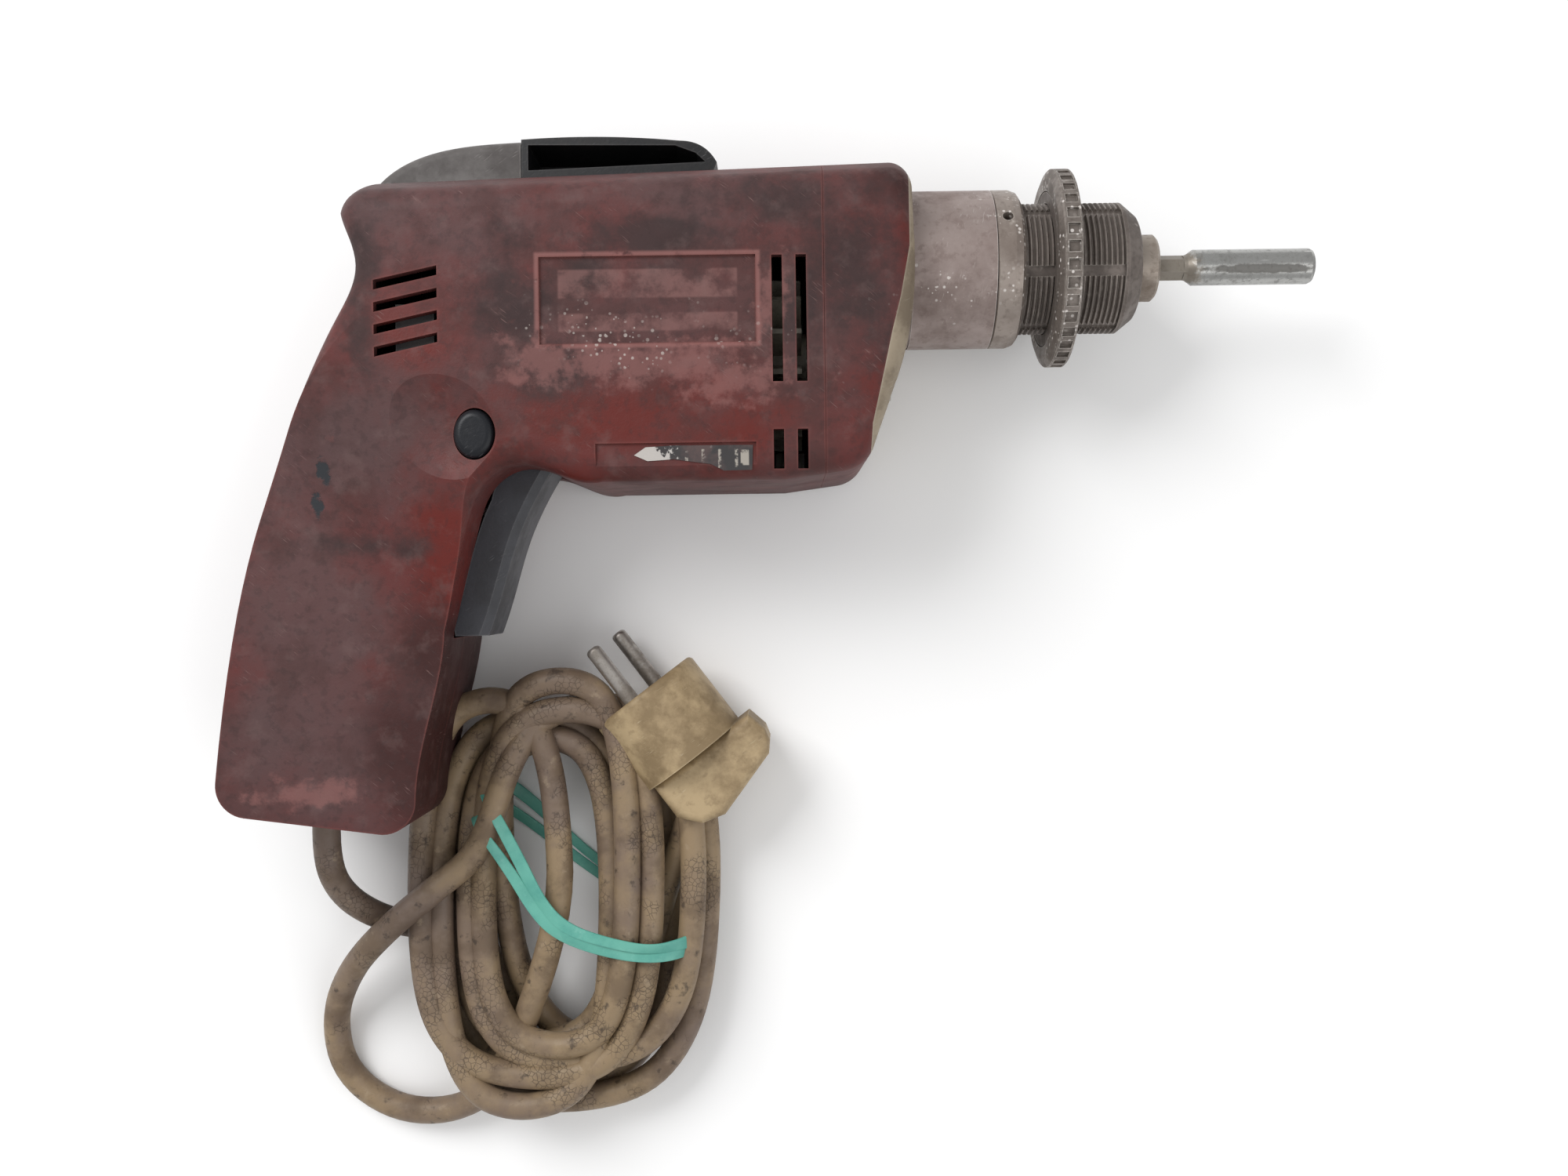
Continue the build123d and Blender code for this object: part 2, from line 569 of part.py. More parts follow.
def build_clutch():
    tip = -10.0
    shoulder = -3.4
    tip_r = CUP_R + CUP_SLOPE * (tip - CUP_X - PUSH - 0.1)
    jaw = turned([(tip, 5.0), (tip, tip_r), (tip + 3.4, tip_r + 3.4 * CUP_SLOPE),
                  (shoulder, tip_r + 3.4 * CUP_SLOPE), (shoulder, 5.0)])
    keep("clutch_cone", jaw)
    spring = cyl_x(9.0, -13.3, tip - 0.1) - cyl_x(7.8, -14, tip + 1)
    keep("clutch_spring", spring)
    head_start = 53.0
    shaft = turned([(-19.0, 0), (-19.0, 5.0), (-3.4, 5.0), (-3.4, 7.2), (-1.0, 7.2),
                    (-1.0, SPINDLE_R), (head_start, SPINDLE_R), (head_start, SPINDLE_HEAD_R),
                    (SPINDLE_HEAD_END - 0.8, SPINDLE_HEAD_R),
                    (SPINDLE_HEAD_END, SPINDLE_HEAD_R - 0.8), (SPINDLE_HEAD_END, 0)])
    socket_depth = 26.0
    socket_plane = Plane(origin=(SPINDLE_HEAD_END - socket_depth, 0, 0), x_dir=(0, 1, 0),
                         z_dir=(1, 0, 0))
    hexagon = socket_plane * RegularPolygon(HEX / math.sqrt(3) + 0.08, 6)
    shaft = shaft - extrude(hexagon, amount=socket_depth + 1)
    clip_x = SPINDLE_HEAD_END - 7.0
    shaft = shaft - tube_x(5.2, 3.0, clip_x - 0.7, clip_x + 0.7)
    keep("spindle", shaft)
    clip = tube_x(5.1, 4.1, clip_x - 0.5, clip_x + 0.5)
    keep("bit_clip", clip - block((clip_x - 1, clip_x + 1), (0, 6), (-1.5, 1.5)))


def build_bit_holder():
    start = SPINDLE_HEAD_END - 24.0
    shank_plane = Plane(origin=(start, 0, 0), x_dir=(0, 1, 0), z_dir=(1, 0, 0))
    shank = extrude(shank_plane * RegularPolygon(HEX / math.sqrt(3), 6), amount=33.5)
    body = turned([(start + 32.5, 0), (start + 32.5, 3.5), (start + 33.5, 3.75),
                   (HOLDER_START, HOLDER_R), (HOLDER_END - 1.2, HOLDER_R),
                   (HOLDER_END - 0.3, HOLDER_R - 0.45), (HOLDER_END, HOLDER_R - 1.1),
                   (HOLDER_END, 0)])
    mouth = Plane(origin=(HOLDER_END - 11, 0, 0), x_dir=(0, 1, 0), z_dir=(1, 0, 0))
    mouth_hex = extrude(mouth * RegularPolygon(HEX / math.sqrt(3) + 0.05, 6), amount=12)
    magnet = cyl_x(2.5, HOLDER_END - 14, HOLDER_END - 11)
    keep("bit_holder", shank + body - mouth_hex - magnet)
    keep("holder_magnet", magnet)


# ---- gear case and nose -------------------------------------------------------------------
def build_gear_case():
    outside = housing_form(WALL + FIT) & block((COVER_X + 0.4, -3.4), (-70, 40), (-60, 60))
    inside = housing_form(WALL + FIT + 2.8) & block((-40, -6.4), (-70, 40), (-60, 60))
    case = outside - inside
    collar = cyl_x(COLLAR_R - 0.4, -3.4, 0.3) + cyl_x(COLLAR_R, 0.3, COLLAR_END)
    case = case + collar
    case = case - cyl_x(14.5, -7, 2.0) - cyl_x(14.0, 1.9, 12.0) - cyl_x(16.0, 12.0, 40)
    for y, z in COVER_SCREWS:
        for side in (z, -z):
            case = case + (cyl_x(3.4, -24.0, -9.2, y, side) & housing_form(WALL + FIT))
    for y, z in COVER_SCREWS:
        for side in (z, -z):
            case = case - cyl_x(1.55, -26, 0, y, side) - cyl_x(3.4, -9.2, 2, y, side)
    keep("gear_case", max(case.solids(), key=lambda s: s.volume))
    plate = housing_form(WALL + FIT) & block((-27.6, COVER_X + 0.2), (-70, 40), (-60, 60))
    plate = plate - cyl_x(11.0, -30, -20, MOTOR_Y)
    boss = tube_x(9.0, 5.0 + RUN_FIT, -24.9, -20.6)
    lip = tube_x(12.6, 11.0, -24.9, -21.4, MOTOR_Y)
    keep("bearing_plate", plate + (boss - cyl_x(12.6, -30, -20, MOTOR_Y)) + lip)


def build_nose():
    points = [(12.1, 9.0), (12.1, 15.95), (COLLAR_END, 15.95), (COLLAR_END, 16.45),
              (CLAMP_RING_END + 0.1, 16.45), (CLAMP_RING_END + 0.1, THREAD_R - THREAD_DEPTH)]
    first = CLAMP_RING_END + 0.8
    turns = 18
    for k in range(turns):
        x = first + k * PITCH
        points += [(x + 0.1, THREAD_R - THREAD_DEPTH), (x + 0.6, THREAD_R),
                   (x + 1.0, THREAD_R), (x + PITCH, THREAD_R - THREAD_DEPTH)]
    end = first + turns * PITCH
    points += [(end + 0.3, THREAD_R), (end + 1.4, THREAD_R), (SLEEVE_END - 0.4, 15.3),
               (SLEEVE_END, 14.6), (SLEEVE_END, 10.4), (50.0, 10.4), (50.0, 9.0)]
    sleeve = turned(points)
    for k in range(6):
        keyway = block((CLAMP_RING_END, end + 0.4), (THREAD_R - 1.0, THREAD_R + 3),
                       (-1.5, 1.5))
        sleeve = sleeve - Rot(104 + 60 * k, 0, 0) * keyway
    keep("nose_sleeve", sleeve)
    keep("sleeve_bush", tube_x(9.0, SPINDLE_R + RUN_FIT, 30.0, 48.0))
    ring = turned([(COLLAR_END + 0.25, 16.5), (COLLAR_END + 0.25, COLLAR_R - 0.35),
                   (COLLAR_END + 0.6, COLLAR_R), (CLAMP_RING_END - 3.2, COLLAR_R),
                   (CLAMP_RING_END - 1.2, COLLAR_R - 0.7),
                   (CLAMP_RING_END - 0.3, COLLAR_R - 2.0),
                   (CLAMP_RING_END, COLLAR_R - 3.4), (CLAMP_RING_END, 16.5)])
    spanner = Rot(62, 0, 0) * Pos(27.1, COLLAR_R - 2, 0) * Rot(90, 0, 0) * Cylinder(1.5, 8)
    keep("clamp_ring", ring - spanner)


def build_depth_ring():
    back, front = RING_BACK, RING_BACK + RING_WIDTH
    bore = THREAD_R + 0.12
    ring = turned([(back, bore), (back, RING_R - 2.6), (back + 0.9, RING_R - 0.4),
                   (back + 1.3, RING_R), (front - 0.3, RING_R), (front, RING_R - 0.3),
                   (front, bore)])
    seat = tube_x(22.3, bore - 1, back - 1, back + 1.4)
    ring = ring - seat
    for k in range(RING_TEETH):
        pocket = block((back + 1.9, front - 0.7), (RING_R - 0.9, RING_R + 2), (-1.55, 1.55))
        ring = ring - Rot(360 / RING_TEETH * k, 0, 0) * pocket
    keep("depth_ring", ring)
    washer = tube_x(22.0, bore, back + 0.05, back + 1.25)
    for k in (0, 3):
        tab = block((back + 0.05, back + 1.25), (THREAD_R - 0.85, THREAD_R + 0.6), (-1.3, 1.3))
        washer = washer + Rot(104 + 60 * k, 0, 0) * tab
    keep("index_washer", washer)


# ---- label --------------------------------------------------------------------------------
def build_label():
    edge = [(-76.6, -56.0), (-73.5, -53.9), (-66, -53.5), (-44.6, -53.6), (-44.9, -60.3),
            (-52.5, -60.4), (-56, -58.6), (-66, -57.2), (-73, -57.6)]
    keep("rating_label", side_plate(edge, BODY_HALF - 0.8, BODY_HALF - 0.55))


# ---- cord ---------------------------------------------------------------------------------
LEAD = [(-171.8, -158.1, 0.0), (-173.2, -170.5, -2.6), (-170.6, -182.5, -9.6),
        (-162.2, -191.5, -18.2), (-149.5, -196.5, -25.6), (-134.5, -198.5, -29.6)]
LOOP = [(-128.0, -169.5, -7.0), (-141.5, -180.0, -7.0), (-156.5, -192.0, -8.4),
        (-171.0, -206.5, -18.5), (-179.8, -224.0, -27.5), (-177.2, -243.0, -29.8),
        (-161.0, -254.8, -29.8), (-141.5, -254.6, -27.5), (-125.5, -243.0, -21.0)]
HANK_OUTLINE = [(-112, -121.5), (-96, -118), (-78, -130), (-62, -150), (-57.5, -170),
                (-65, -200), (-78, -233), (-99, -251), (-124, -255), (-142, -238),
                (-151.5, -211), (-148, -186), (-134, -160), (-125.5, -136)]
HANK_MIDDLE = (-104.5, -187.0)
HANK_TOP = -4.0
PLUG_AT = (-80.0, -123.0, -15.8)
PLUG_TURN = -53.13          # direction from the pins to the back of the plug, in the XY plane
PLUG_ROLL = 21.0
PLUG_R = 17.8


def cord_tube(points):
    """Straight runs joined by the largest tangent arcs that they allow."""
    corners = [Vector(*p) for p in points]
    radii = []
    for before, corner, after in zip(corners, corners[1:], corners[2:]):
        turn = math.radians((corner - before).get_angle(after - corner))
        run = min((corner - before).length, (after - corner).length)
        radii.append(0.45 * run / math.tan(turn / 2))
    path = FilletPolyline(*points, radius=radii)
    print("cord radii", [round(r, 1) for r in radii], "length", round(path.length, 1))
    start = Plane(origin=path @ 0, z_dir=path % 0)
    tube = sweep(start * Circle(CORD_R), path=path)
    print("volume / (section x length)",
          round(tube.volume / (math.pi * CORD_R ** 2 * path.length), 4))
    return tube


def hank_form(grow=0.0):
    """Outer shape of the hank of cord: a leaning oval slab with rounded edges."""
    cx, cy = HANK_MIDDLE
    points = []
    for x, y in HANK_OUTLINE:
        scale = 1 + grow / math.hypot(x - cx, y - cy)
        points.append((cx + (x - cx) * scale, cy + (y - cy) * scale))
    low = FLOOR + 1.4 - grow
    high = HANK_TOP + grow
    slab = extrude(make_face(Spline(*points, periodic=True)), amount=high - low)
    return Pos(0, 0, low) * fillet(plate_edges(slab), 8.0)


def plug_frame():
    return Pos(*PLUG_AT) * Rot(0, 0, PLUG_TURN)


def plug_solid(grow=0.0):
    """Round plug with a hood at the back, where the cord enters at a slant."""
    radius = PLUG_R + grow
    body = Pos(12.3, 0, 0) * Rot(0, 90, 0) * Cylinder(radius, 24.6 + 2 * grow)
    hood_outline = [(24.4, 21.6), (31.0, 23.0), (34.6, 22.0), (37.6, 19.4), (44.0, -2.0),
                    (42.0, -9.0), (36.0, -14.0), (24.4, -14.0)]
    hood = side_plate(hood_outline, -11.0 - grow, 11.0 + grow)
    if not grow:
        rim = [e for e in body.edges() if abs(e.center().X) < 0.01]
        body = fillet(rim, 1.6)
        hood = fillet(plate_edges(hood), 2.5)
    return plug_frame() * (body + hood)


def build_cord():
    plug = plug_solid()
    hank = hank_form()
    tie_slab = Pos(-97.5, -176.0, 0) * Rot(0, 0, -39.0) * Box(160, 5.6, 80)
    tie = (hank_form(0.9) & tie_slab) - hank
    room = plug_solid(0.4)
    for side in (9.5, -9.5):
        pin_room = Pos(-9.0, 0, 0) * Rot(0, 90, 0) * Cylinder(3.2, 24.0)
        room = room + plug_frame() * Rot(PLUG_ROLL, 0, 0) * Pos(0, 0, side) * pin_room
    hank = hank - room
    tie = tie - room
    lead = cord_tube(LEAD) - hank - tie
    loop = cord_tube(LOOP) - hank - tie
    keep("cord_lead", max(lead.solids(), key=lambda s: s.volume))
    keep("cord_loop", max(loop.solids(), key=lambda s: s.volume))
    keep("cord_hank", max(hank.solids(), key=lambda s: s.volume))
    keep("hank_tie", tie)
    pins = []
    for side in (9.5, -9.5):
        pin = Pos(-9.0, 0, 0) * Rot(0, 90, 0) * Cylinder(2.4, 21.0)
        tip = [e for e in pin.edges() if abs(e.center().X + 19.5) < 0.01]
        pin = fillet(tip, 1.4)
        pins.append(plug_frame() * Rot(PLUG_ROLL, 0, 0) * Pos(0, 0, side) * pin)
    for pin in pins:
        plug = plug - pin
    keep("plug_body", plug)
    keep("plug_pins", *pins)


def main():
    build_housing()
    build_fasteners()
    build_hook()
    build_trigger()
    build_switch()
    build_cord_entry()
    build_stator()
    build_armature()
    build_bearings()
    build_brushes()
    build_gear()
    build_clutch()
    build_bit_holder()
    build_gear_case()
    build_nose()
    build_depth_ring()
    build_label()
    build_cord()
    for name, solids in nodes.items():
        placed = [to_row(s) for s in solids]
        whole = placed[0] if len(placed) == 1 else Compound(children=placed)
        whole.label = name
        export_step(whole, f"parts/{name}.step")
    cord_nodes = ("cord_lead", "cord_loop", "cord_hank", "hank_tie", "plug_body", "plug_pins")
    boxes = [s.bounding_box() for name, solids in nodes.items() if name not in cord_nodes
             for s in solids]
    for axis in "XYZ":
        low = min(getattr(b.min, axis) for b in boxes)
        high = max(getattr(b.max, axis) for b in boxes)
        print(axis, round(low, 3), round(high, 3), "middle", round((low + high) / 2, 3))
    print(len(nodes), "nodes")


main()
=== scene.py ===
"""Looks of a worn corded drywall screwdriver on its left side, with its cord tied in a hank."""
import math

import bpy
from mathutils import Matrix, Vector


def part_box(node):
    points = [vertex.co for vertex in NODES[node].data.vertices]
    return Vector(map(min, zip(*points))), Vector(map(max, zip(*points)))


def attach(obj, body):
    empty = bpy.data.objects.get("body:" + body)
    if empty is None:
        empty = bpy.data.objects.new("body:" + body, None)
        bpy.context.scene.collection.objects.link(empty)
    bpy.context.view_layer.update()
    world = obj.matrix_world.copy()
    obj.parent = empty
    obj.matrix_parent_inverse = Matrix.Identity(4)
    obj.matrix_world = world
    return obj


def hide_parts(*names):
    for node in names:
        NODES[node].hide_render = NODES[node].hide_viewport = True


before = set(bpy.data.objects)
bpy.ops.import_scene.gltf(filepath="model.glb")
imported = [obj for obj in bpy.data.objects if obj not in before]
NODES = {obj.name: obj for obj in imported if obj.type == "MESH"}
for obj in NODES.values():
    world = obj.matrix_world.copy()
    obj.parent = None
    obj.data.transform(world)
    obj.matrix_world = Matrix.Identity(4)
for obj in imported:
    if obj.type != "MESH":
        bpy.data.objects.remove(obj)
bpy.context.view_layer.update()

MM = 0.001
AXIS_SHIFT = Vector((37.86, 61.04, 34.0))     # tool axis and housing front, in the row frame, in mm


def at(x, y, z):
    """A point in the row frame, given in mm from the housing's front face and spindle axis."""
    return (Vector((x, y, z)) + AXIS_SHIFT) * MM


# ---- node helpers -----------------------------------------------------------------------------
def add(tree, kind, inputs=None, **settings):
    """A node with its settings, its values and its links, in one call."""
    node = tree.nodes.new(kind)
    for key, value in settings.items():
        setattr(node, key, value)
    for key, value in (inputs or {}).items():
        if isinstance(value, bpy.types.NodeSocket):
            tree.links.new(value, node.inputs[key])
        else:
            node.inputs[key].default_value = value
    return node


def calc(tree, operation, first, second=0.0, clamp=False):
    """One step of arithmetic on values."""
    node = add(tree, "ShaderNodeMath", {0: first, 1: second}, operation=operation, use_clamp=clamp)
    return node.outputs[0]


def vector_calc(tree, operation, first, second=(0, 0, 0)):
    """One step of arithmetic on vectors."""
    node = add(tree, "ShaderNodeVectorMath", {0: first, 1: second}, operation=operation)
    return node.outputs["Value" if operation in ("LENGTH", "DISTANCE", "DOT_PRODUCT") else "Vector"]


def ramp(tree, value, low, high, start=0.0, end=1.0):
    """Smoothly from start to end as value goes from low to high."""
    node = add(tree, "ShaderNodeMapRange",
               {"Value": value, "From Min": low, "From Max": high, "To Min": start, "To Max": end},
               interpolation_type="SMOOTHSTEP")
    return node.outputs[0]


def mix(tree, share, first, second):
    """From the first colour to the second, as share goes from 0 to 1."""
    node = add(tree, "ShaderNodeMix", data_type="RGBA")
    for key, value in ((0, share), (6, first), (7, second)):
        if isinstance(value, bpy.types.NodeSocket):
            tree.links.new(value, node.inputs[key])
        elif key == 0:
            node.inputs[0].default_value = value
        else:
            node.inputs[key].default_value = (*value, 1.0)
    return node.outputs[2]


def place(tree):
    """The surface point in the row frame, which rides with its piece."""
    return add(tree, "ShaderNodeTexCoord").outputs["Object"]


def noise(tree, where, scale, detail=3.0, roughness=0.55):
    """A cloudy value from 0 to 1, about 0.5 on average; scale is in cells for each metre."""
    node = add(tree, "ShaderNodeTexNoise",
               {"Vector": where, "Scale": scale, "Detail": detail, "Roughness": roughness})
    return node.outputs["Fac"]


def new_group(name, inputs, outputs):
    """An empty node group with named inputs (name, socket type, value) and outputs."""
    tree = bpy.data.node_groups.new(name, "ShaderNodeTree")
    for label, kind, value in inputs:
        socket = tree.interface.new_socket(label, in_out="INPUT", socket_type=kind)
        socket.default_value = value
    for label, kind in outputs:
        tree.interface.new_socket(label, in_out="OUTPUT", socket_type=kind)
    return tree, tree.nodes.new("NodeGroupInput").outputs, tree.nodes.new("NodeGroupOutput").inputs


FLOAT, VECTOR = "NodeSocketFloat", "NodeSocketVector"


def build_soiling():
    """Cloudy patches: Amount is the share of the surface they cover."""
    tree, given, result = new_group(
        "soiling", [("Scale", FLOAT, 30.0), ("Amount", FLOAT, 0.5), ("Softness", FLOAT, 0.1),
                    ("Offset", VECTOR, (0, 0, 0))], [("Mask", FLOAT)])
    spot = vector_calc(tree, "ADD", place(tree), given["Offset"])
    cloud = add(tree, "ShaderNodeTexNoise",
                {"Vector": spot, "Scale": given["Scale"], "Detail": 7.0, "Roughness": 0.62})
    level = calc(tree, "SUBTRACT", 1.0, given["Amount"])
    level = ramp(tree, level, 0.0, 1.0, 0.28, 0.72)
    low = calc(tree, "SUBTRACT", level, given["Softness"])
    high = calc(tree, "ADD", level, given["Softness"])
    mask = ramp(tree, cloud.outputs["Fac"], low, high)
    tree.links.new(mask, result["Mask"])
    return tree


def build_patch():
    """One ragged patch about Centre, with half sizes Size in metres."""
    tree, given, result = new_group(
        "patch", [("Centre", VECTOR, (0, 0, 0)), ("Size", VECTOR, (0.01, 0.01, 0.01)),
                  ("Softness", FLOAT, 0.3), ("Raggedness", FLOAT, 0.6), ("Scale", FLOAT, 90.0)],
        [("Mask", FLOAT)])
    here = place(tree)
    away = vector_calc(tree, "DIVIDE", vector_calc(tree, "SUBTRACT", here, given["Centre"]),
                       given["Size"])
    distance = vector_calc(tree, "LENGTH", away)
    cloud = add(tree, "ShaderNodeTexNoise",
                {"Vector": here, "Scale": given["Scale"], "Detail": 6.0, "Roughness": 0.65})
    shake = calc(tree, "MULTIPLY", calc(tree, "SUBTRACT", cloud.outputs["Fac"], 0.5),
                 calc(tree, "MULTIPLY", given["Raggedness"], 4.0))
    distance = calc(tree, "ADD", distance, shake)
    low = calc(tree, "ADD", 1.0, given["Softness"])
    high = calc(tree, "SUBTRACT", 1.0, given["Softness"])
    tree.links.new(ramp(tree, distance, low, high), result["Mask"])
    return tree


def build_edge_wear():
    """Where a convex edge is rubbed: Width is how far the wear reaches, in metres."""
    tree, given, result = new_group(
        "edge wear", [("Width", FLOAT, 0.0008), ("Scale", FLOAT, 400.0), ("Breakup", FLOAT, 0.5)],
        [("Mask", FLOAT)])
    soft = add(tree, "ShaderNodeBevel", {"Radius": given["Width"]}, samples=4)
    sharp = add(tree, "ShaderNodeNewGeometry").outputs["Normal"]
    turn = calc(tree, "SUBTRACT", 1.0, vector_calc(tree, "DOT_PRODUCT", soft.outputs[0], sharp))
    cloud = add(tree, "ShaderNodeTexNoise",
                {"Vector": place(tree), "Scale": given["Scale"], "Detail": 4.0})
    grit = calc(tree, "MULTIPLY", calc(tree, "SUBTRACT", cloud.outputs["Fac"], 0.5),
                given["Breakup"])
    tree.links.new(ramp(tree, calc(tree, "ADD", turn, grit), 0.06, 0.22), result["Mask"])
    return tree


def build_scratches():
    """Fine straight scratches that run one way, broken up so that few are long."""
    tree, given, result = new_group(
        "scratches", [("Stretch", VECTOR, (1, 1, 1)), ("Scale", FLOAT, 300.0),
                      ("Amount", FLOAT, 0.3), ("Turn", FLOAT, 0.4)], [("Mask", FLOAT)])
    turned = add(tree, "ShaderNodeVectorRotate",
                 {"Vector": place(tree), "Angle": given["Turn"]}, rotation_type="Z_AXIS")
    spot = vector_calc(tree, "MULTIPLY", turned.outputs[0], given["Stretch"])
    lines = add(tree, "ShaderNodeTexNoise", {"Vector": spot, "Scale": given["Scale"],
                                             "Detail": 2.0, "Roughness": 0.4})
    breaks = noise(tree, place(tree), 90.0, 3.0)
    peak = ramp(tree, lines.outputs["Fac"], calc(tree, "SUBTRACT", 0.78, given["Amount"]), 0.80)
    tree.links.new(calc(tree, "MULTIPLY", peak, ramp(tree, breaks, 0.5, 0.62)), result["Mask"])
    return tree


def build_specks():
    """Small round spots of paint or grit, of mixed size, gathered where a slow cloud lets them."""
    tree, given, result = new_group(
        "specks", [("Scale", FLOAT, 500.0), ("Amount", FLOAT, 0.3), ("Size", FLOAT, 0.3)],
        [("Mask", FLOAT)])
    here = place(tree)
    cells = add(tree, "ShaderNodeTexVoronoi", {"Vector": here, "Scale": given["Scale"]})
    chance = add(tree, "ShaderNodeSeparateColor", {0: cells.outputs["Color"]})
    chosen = calc(tree, "LESS_THAN", chance.outputs[0], given["Amount"])
    reach = calc(tree, "MULTIPLY", given["Size"], chance.outputs[1])
    dot = ramp(tree, cells.outputs["Distance"], reach, calc(tree, "MULTIPLY", reach, 0.6))
    gather = ramp(tree, noise(tree, here, 45.0, 3.0), 0.48, 0.58)
    tree.links.new(calc(tree, "MULTIPLY", calc(tree, "MULTIPLY", dot, chosen), gather),
                   result["Mask"])
    return tree


def build_bar():
    """A straight-sided field about Centre, with half sizes Half in metres."""
    tree, given, result = new_group(
        "bar", [("Centre", VECTOR, (0, 0, 0)), ("Half", VECTOR, (0.01, 0.01, 0.01)),
                ("Softness", FLOAT, 0.0004)], [("Mask", FLOAT)])
    away = add(tree, "ShaderNodeVectorMath",
               {0: vector_calc(tree, "SUBTRACT", place(tree), given["Centre"])},
               operation="ABSOLUTE").outputs[0]
    past = add(tree, "ShaderNodeSeparateXYZ",
               {0: vector_calc(tree, "SUBTRACT", away, given["Half"])})
    inside = None
    for axis in range(3):
        side = ramp(tree, past.outputs[axis], given["Softness"],
                    calc(tree, "MULTIPLY", given["Softness"], -1.0))
        inside = side if inside is None else calc(tree, "MULTIPLY", inside, side)
    tree.links.new(inside, result["Mask"])
    return tree


GROUPS = {"soiling": build_soiling(), "patch": build_patch(), "edge wear": build_edge_wear(),
          "scratches": build_scratches(), "specks": build_specks(), "bar": build_bar()}


def effect(tree, name, **inputs):
    """The mask of a shared effect, with its values given by input name."""
    node = tree.nodes.new("ShaderNodeGroup")
    node.node_tree = GROUPS[name]
    for key, value in inputs.items():
        if isinstance(value, bpy.types.NodeSocket):
            tree.links.new(value, node.inputs[key])
        else:
            node.inputs[key].default_value = value
    return node.outputs["Mask"]


def bump(tree, height, strength, distance, normal=None):
    """A normal from a height; distance is in metres, and one bump may lie on another."""
    inputs = {"Height": height, "Strength": strength, "Distance": distance}
    if normal is not None:
        inputs["Normal"] = normal
    return add(tree, "ShaderNodeBump", inputs).outputs[0]


def new_material(name, **shader):
    """A material's tree and its shader, with constant values set by socket name."""
    material = bpy.data.materials.new(name)
    material.use_nodes = True
    tree = material.node_tree
    principled = tree.nodes["Principled BSDF"]
    for key, value in shader.items():
        principled.inputs[key.replace("_", " ")].default_value = value
    return material, tree, principled.inputs


def wear(tree, sockets, colour=None, roughness=None, normal=None, metallic=None):
    """Links what varies over the surface to the shader."""
    for key, value in (("Base Color", colour), ("Roughness", roughness), ("Normal", normal),
                       ("Metallic", metallic)):
        if value is not None:
            tree.links.new(value, sockets[key])


def half_size(x, y, z=60.0):
    """Half sizes in mm as metres; a mark goes through the whole width unless told otherwise."""
    return Vector((x, y, z)) * MM


def share(tree, mask, amount):
    """Part of a mask."""
    return calc(tree, "MULTIPLY", mask, amount)


def finish(material, *names):
    """Gives CAD nodes a material."""
    for name in names:
        for given in NODES[name].material_slots:
            given.material = material
    return material


# ---- camera, light, floor ---------------------------------------------------------------------
CAMERA_AT = (-36.8, -92.2, 400.0)             # mm, straight above the tool
CAMERA_TURN = math.radians(-0.8)
SENSOR_WIDTH = 36.0
LENS = 31.32
LIGHTS = (("key", (-0.55, 0.50, 0.75), 0.55, 7.5),     # name, place in m, width in m, power in W
          ("fill", (0.65, -0.35, 0.80), 0.90, 3.0))
LIT_SPOT = Vector((-0.02, -0.03, 0))
SKY_STRENGTH = 0.62
FLOOR_HALF = 3.0
FLOOR_COLOUR = (0.93, 0.93, 0.93, 1)


def build_stage():
    scene = bpy.context.scene
    scene.view_settings.view_transform = "Standard"
    camera = bpy.data.objects.new("camera", bpy.data.cameras.new("camera"))
    camera.data.sensor_width = SENSOR_WIDTH
    camera.data.lens = LENS
    camera.data.clip_start = 0.01
    camera.location = at(*CAMERA_AT)
    camera.rotation_euler = (0.0, 0.0, CAMERA_TURN)
    scene.collection.objects.link(camera)
    scene.camera = camera

    for name, spot, size, power in LIGHTS:
        light = bpy.data.objects.new(name, bpy.data.lights.new(name, "AREA"))
        light.data.size = size
        light.data.energy = power
        light.location = spot
        light.rotation_mode = "QUATERNION"
        light.rotation_quaternion = (LIT_SPOT - Vector(spot)).to_track_quat("-Z", "Y")
        scene.collection.objects.link(light)
    world = bpy.data.worlds.new("studio")
    world.use_nodes = True
    sky = world.node_tree.nodes["Background"].inputs
    sky["Color"].default_value = (1.0, 1.0, 1.0, 1.0)
    sky["Strength"].default_value = SKY_STRENGTH
    scene.world = world

    floor_mesh = bpy.data.meshes.new("floor")
    floor_mesh.from_pydata([(x * FLOOR_HALF, y * FLOOR_HALF, 0)
                            for x, y in ((-1, -1), (1, -1), (1, 1), (-1, 1))],
                           [], [(0, 1, 2, 3)])
    floor = bpy.data.objects.new("floor", floor_mesh)
    scene.collection.objects.link(floor)
    floor_mesh.materials.append(
        new_material("pale_floor", Base_Color=FLOOR_COLOUR, Roughness=0.9)[0])


build_stage()

# ---- cord -------------------------------------------------------------------------------------
CORD_DIAMETER = 8.0 * MM
# The route in mm: out of the grip, into the hank's inner turns, out round the loose loop, into its
# outer turns, and on to the plug.
LEAD = [(-171.8, -158.1, 0.0), (-173.2, -170.5, -2.6), (-170.6, -182.5, -9.6),
        (-162.2, -191.5, -18.2), (-149.5, -196.5, -25.6), (-136.5, -199.0, -29.0)]
INTO_LOOP = [(-110.5, -128.8, -11.5), (-120.5, -144.0, -8.6)]
LOOP = [(-128.0, -169.5, -7.0), (-141.5, -180.0, -7.0), (-156.5, -192.0, -8.4),
        (-171.0, -206.5, -18.5), (-179.8, -224.0, -27.5), (-177.2, -243.0, -29.8),
        (-161.0, -254.8, -29.8), (-141.5, -254.6, -27.5), (-125.5, -243.0, -21.0)]
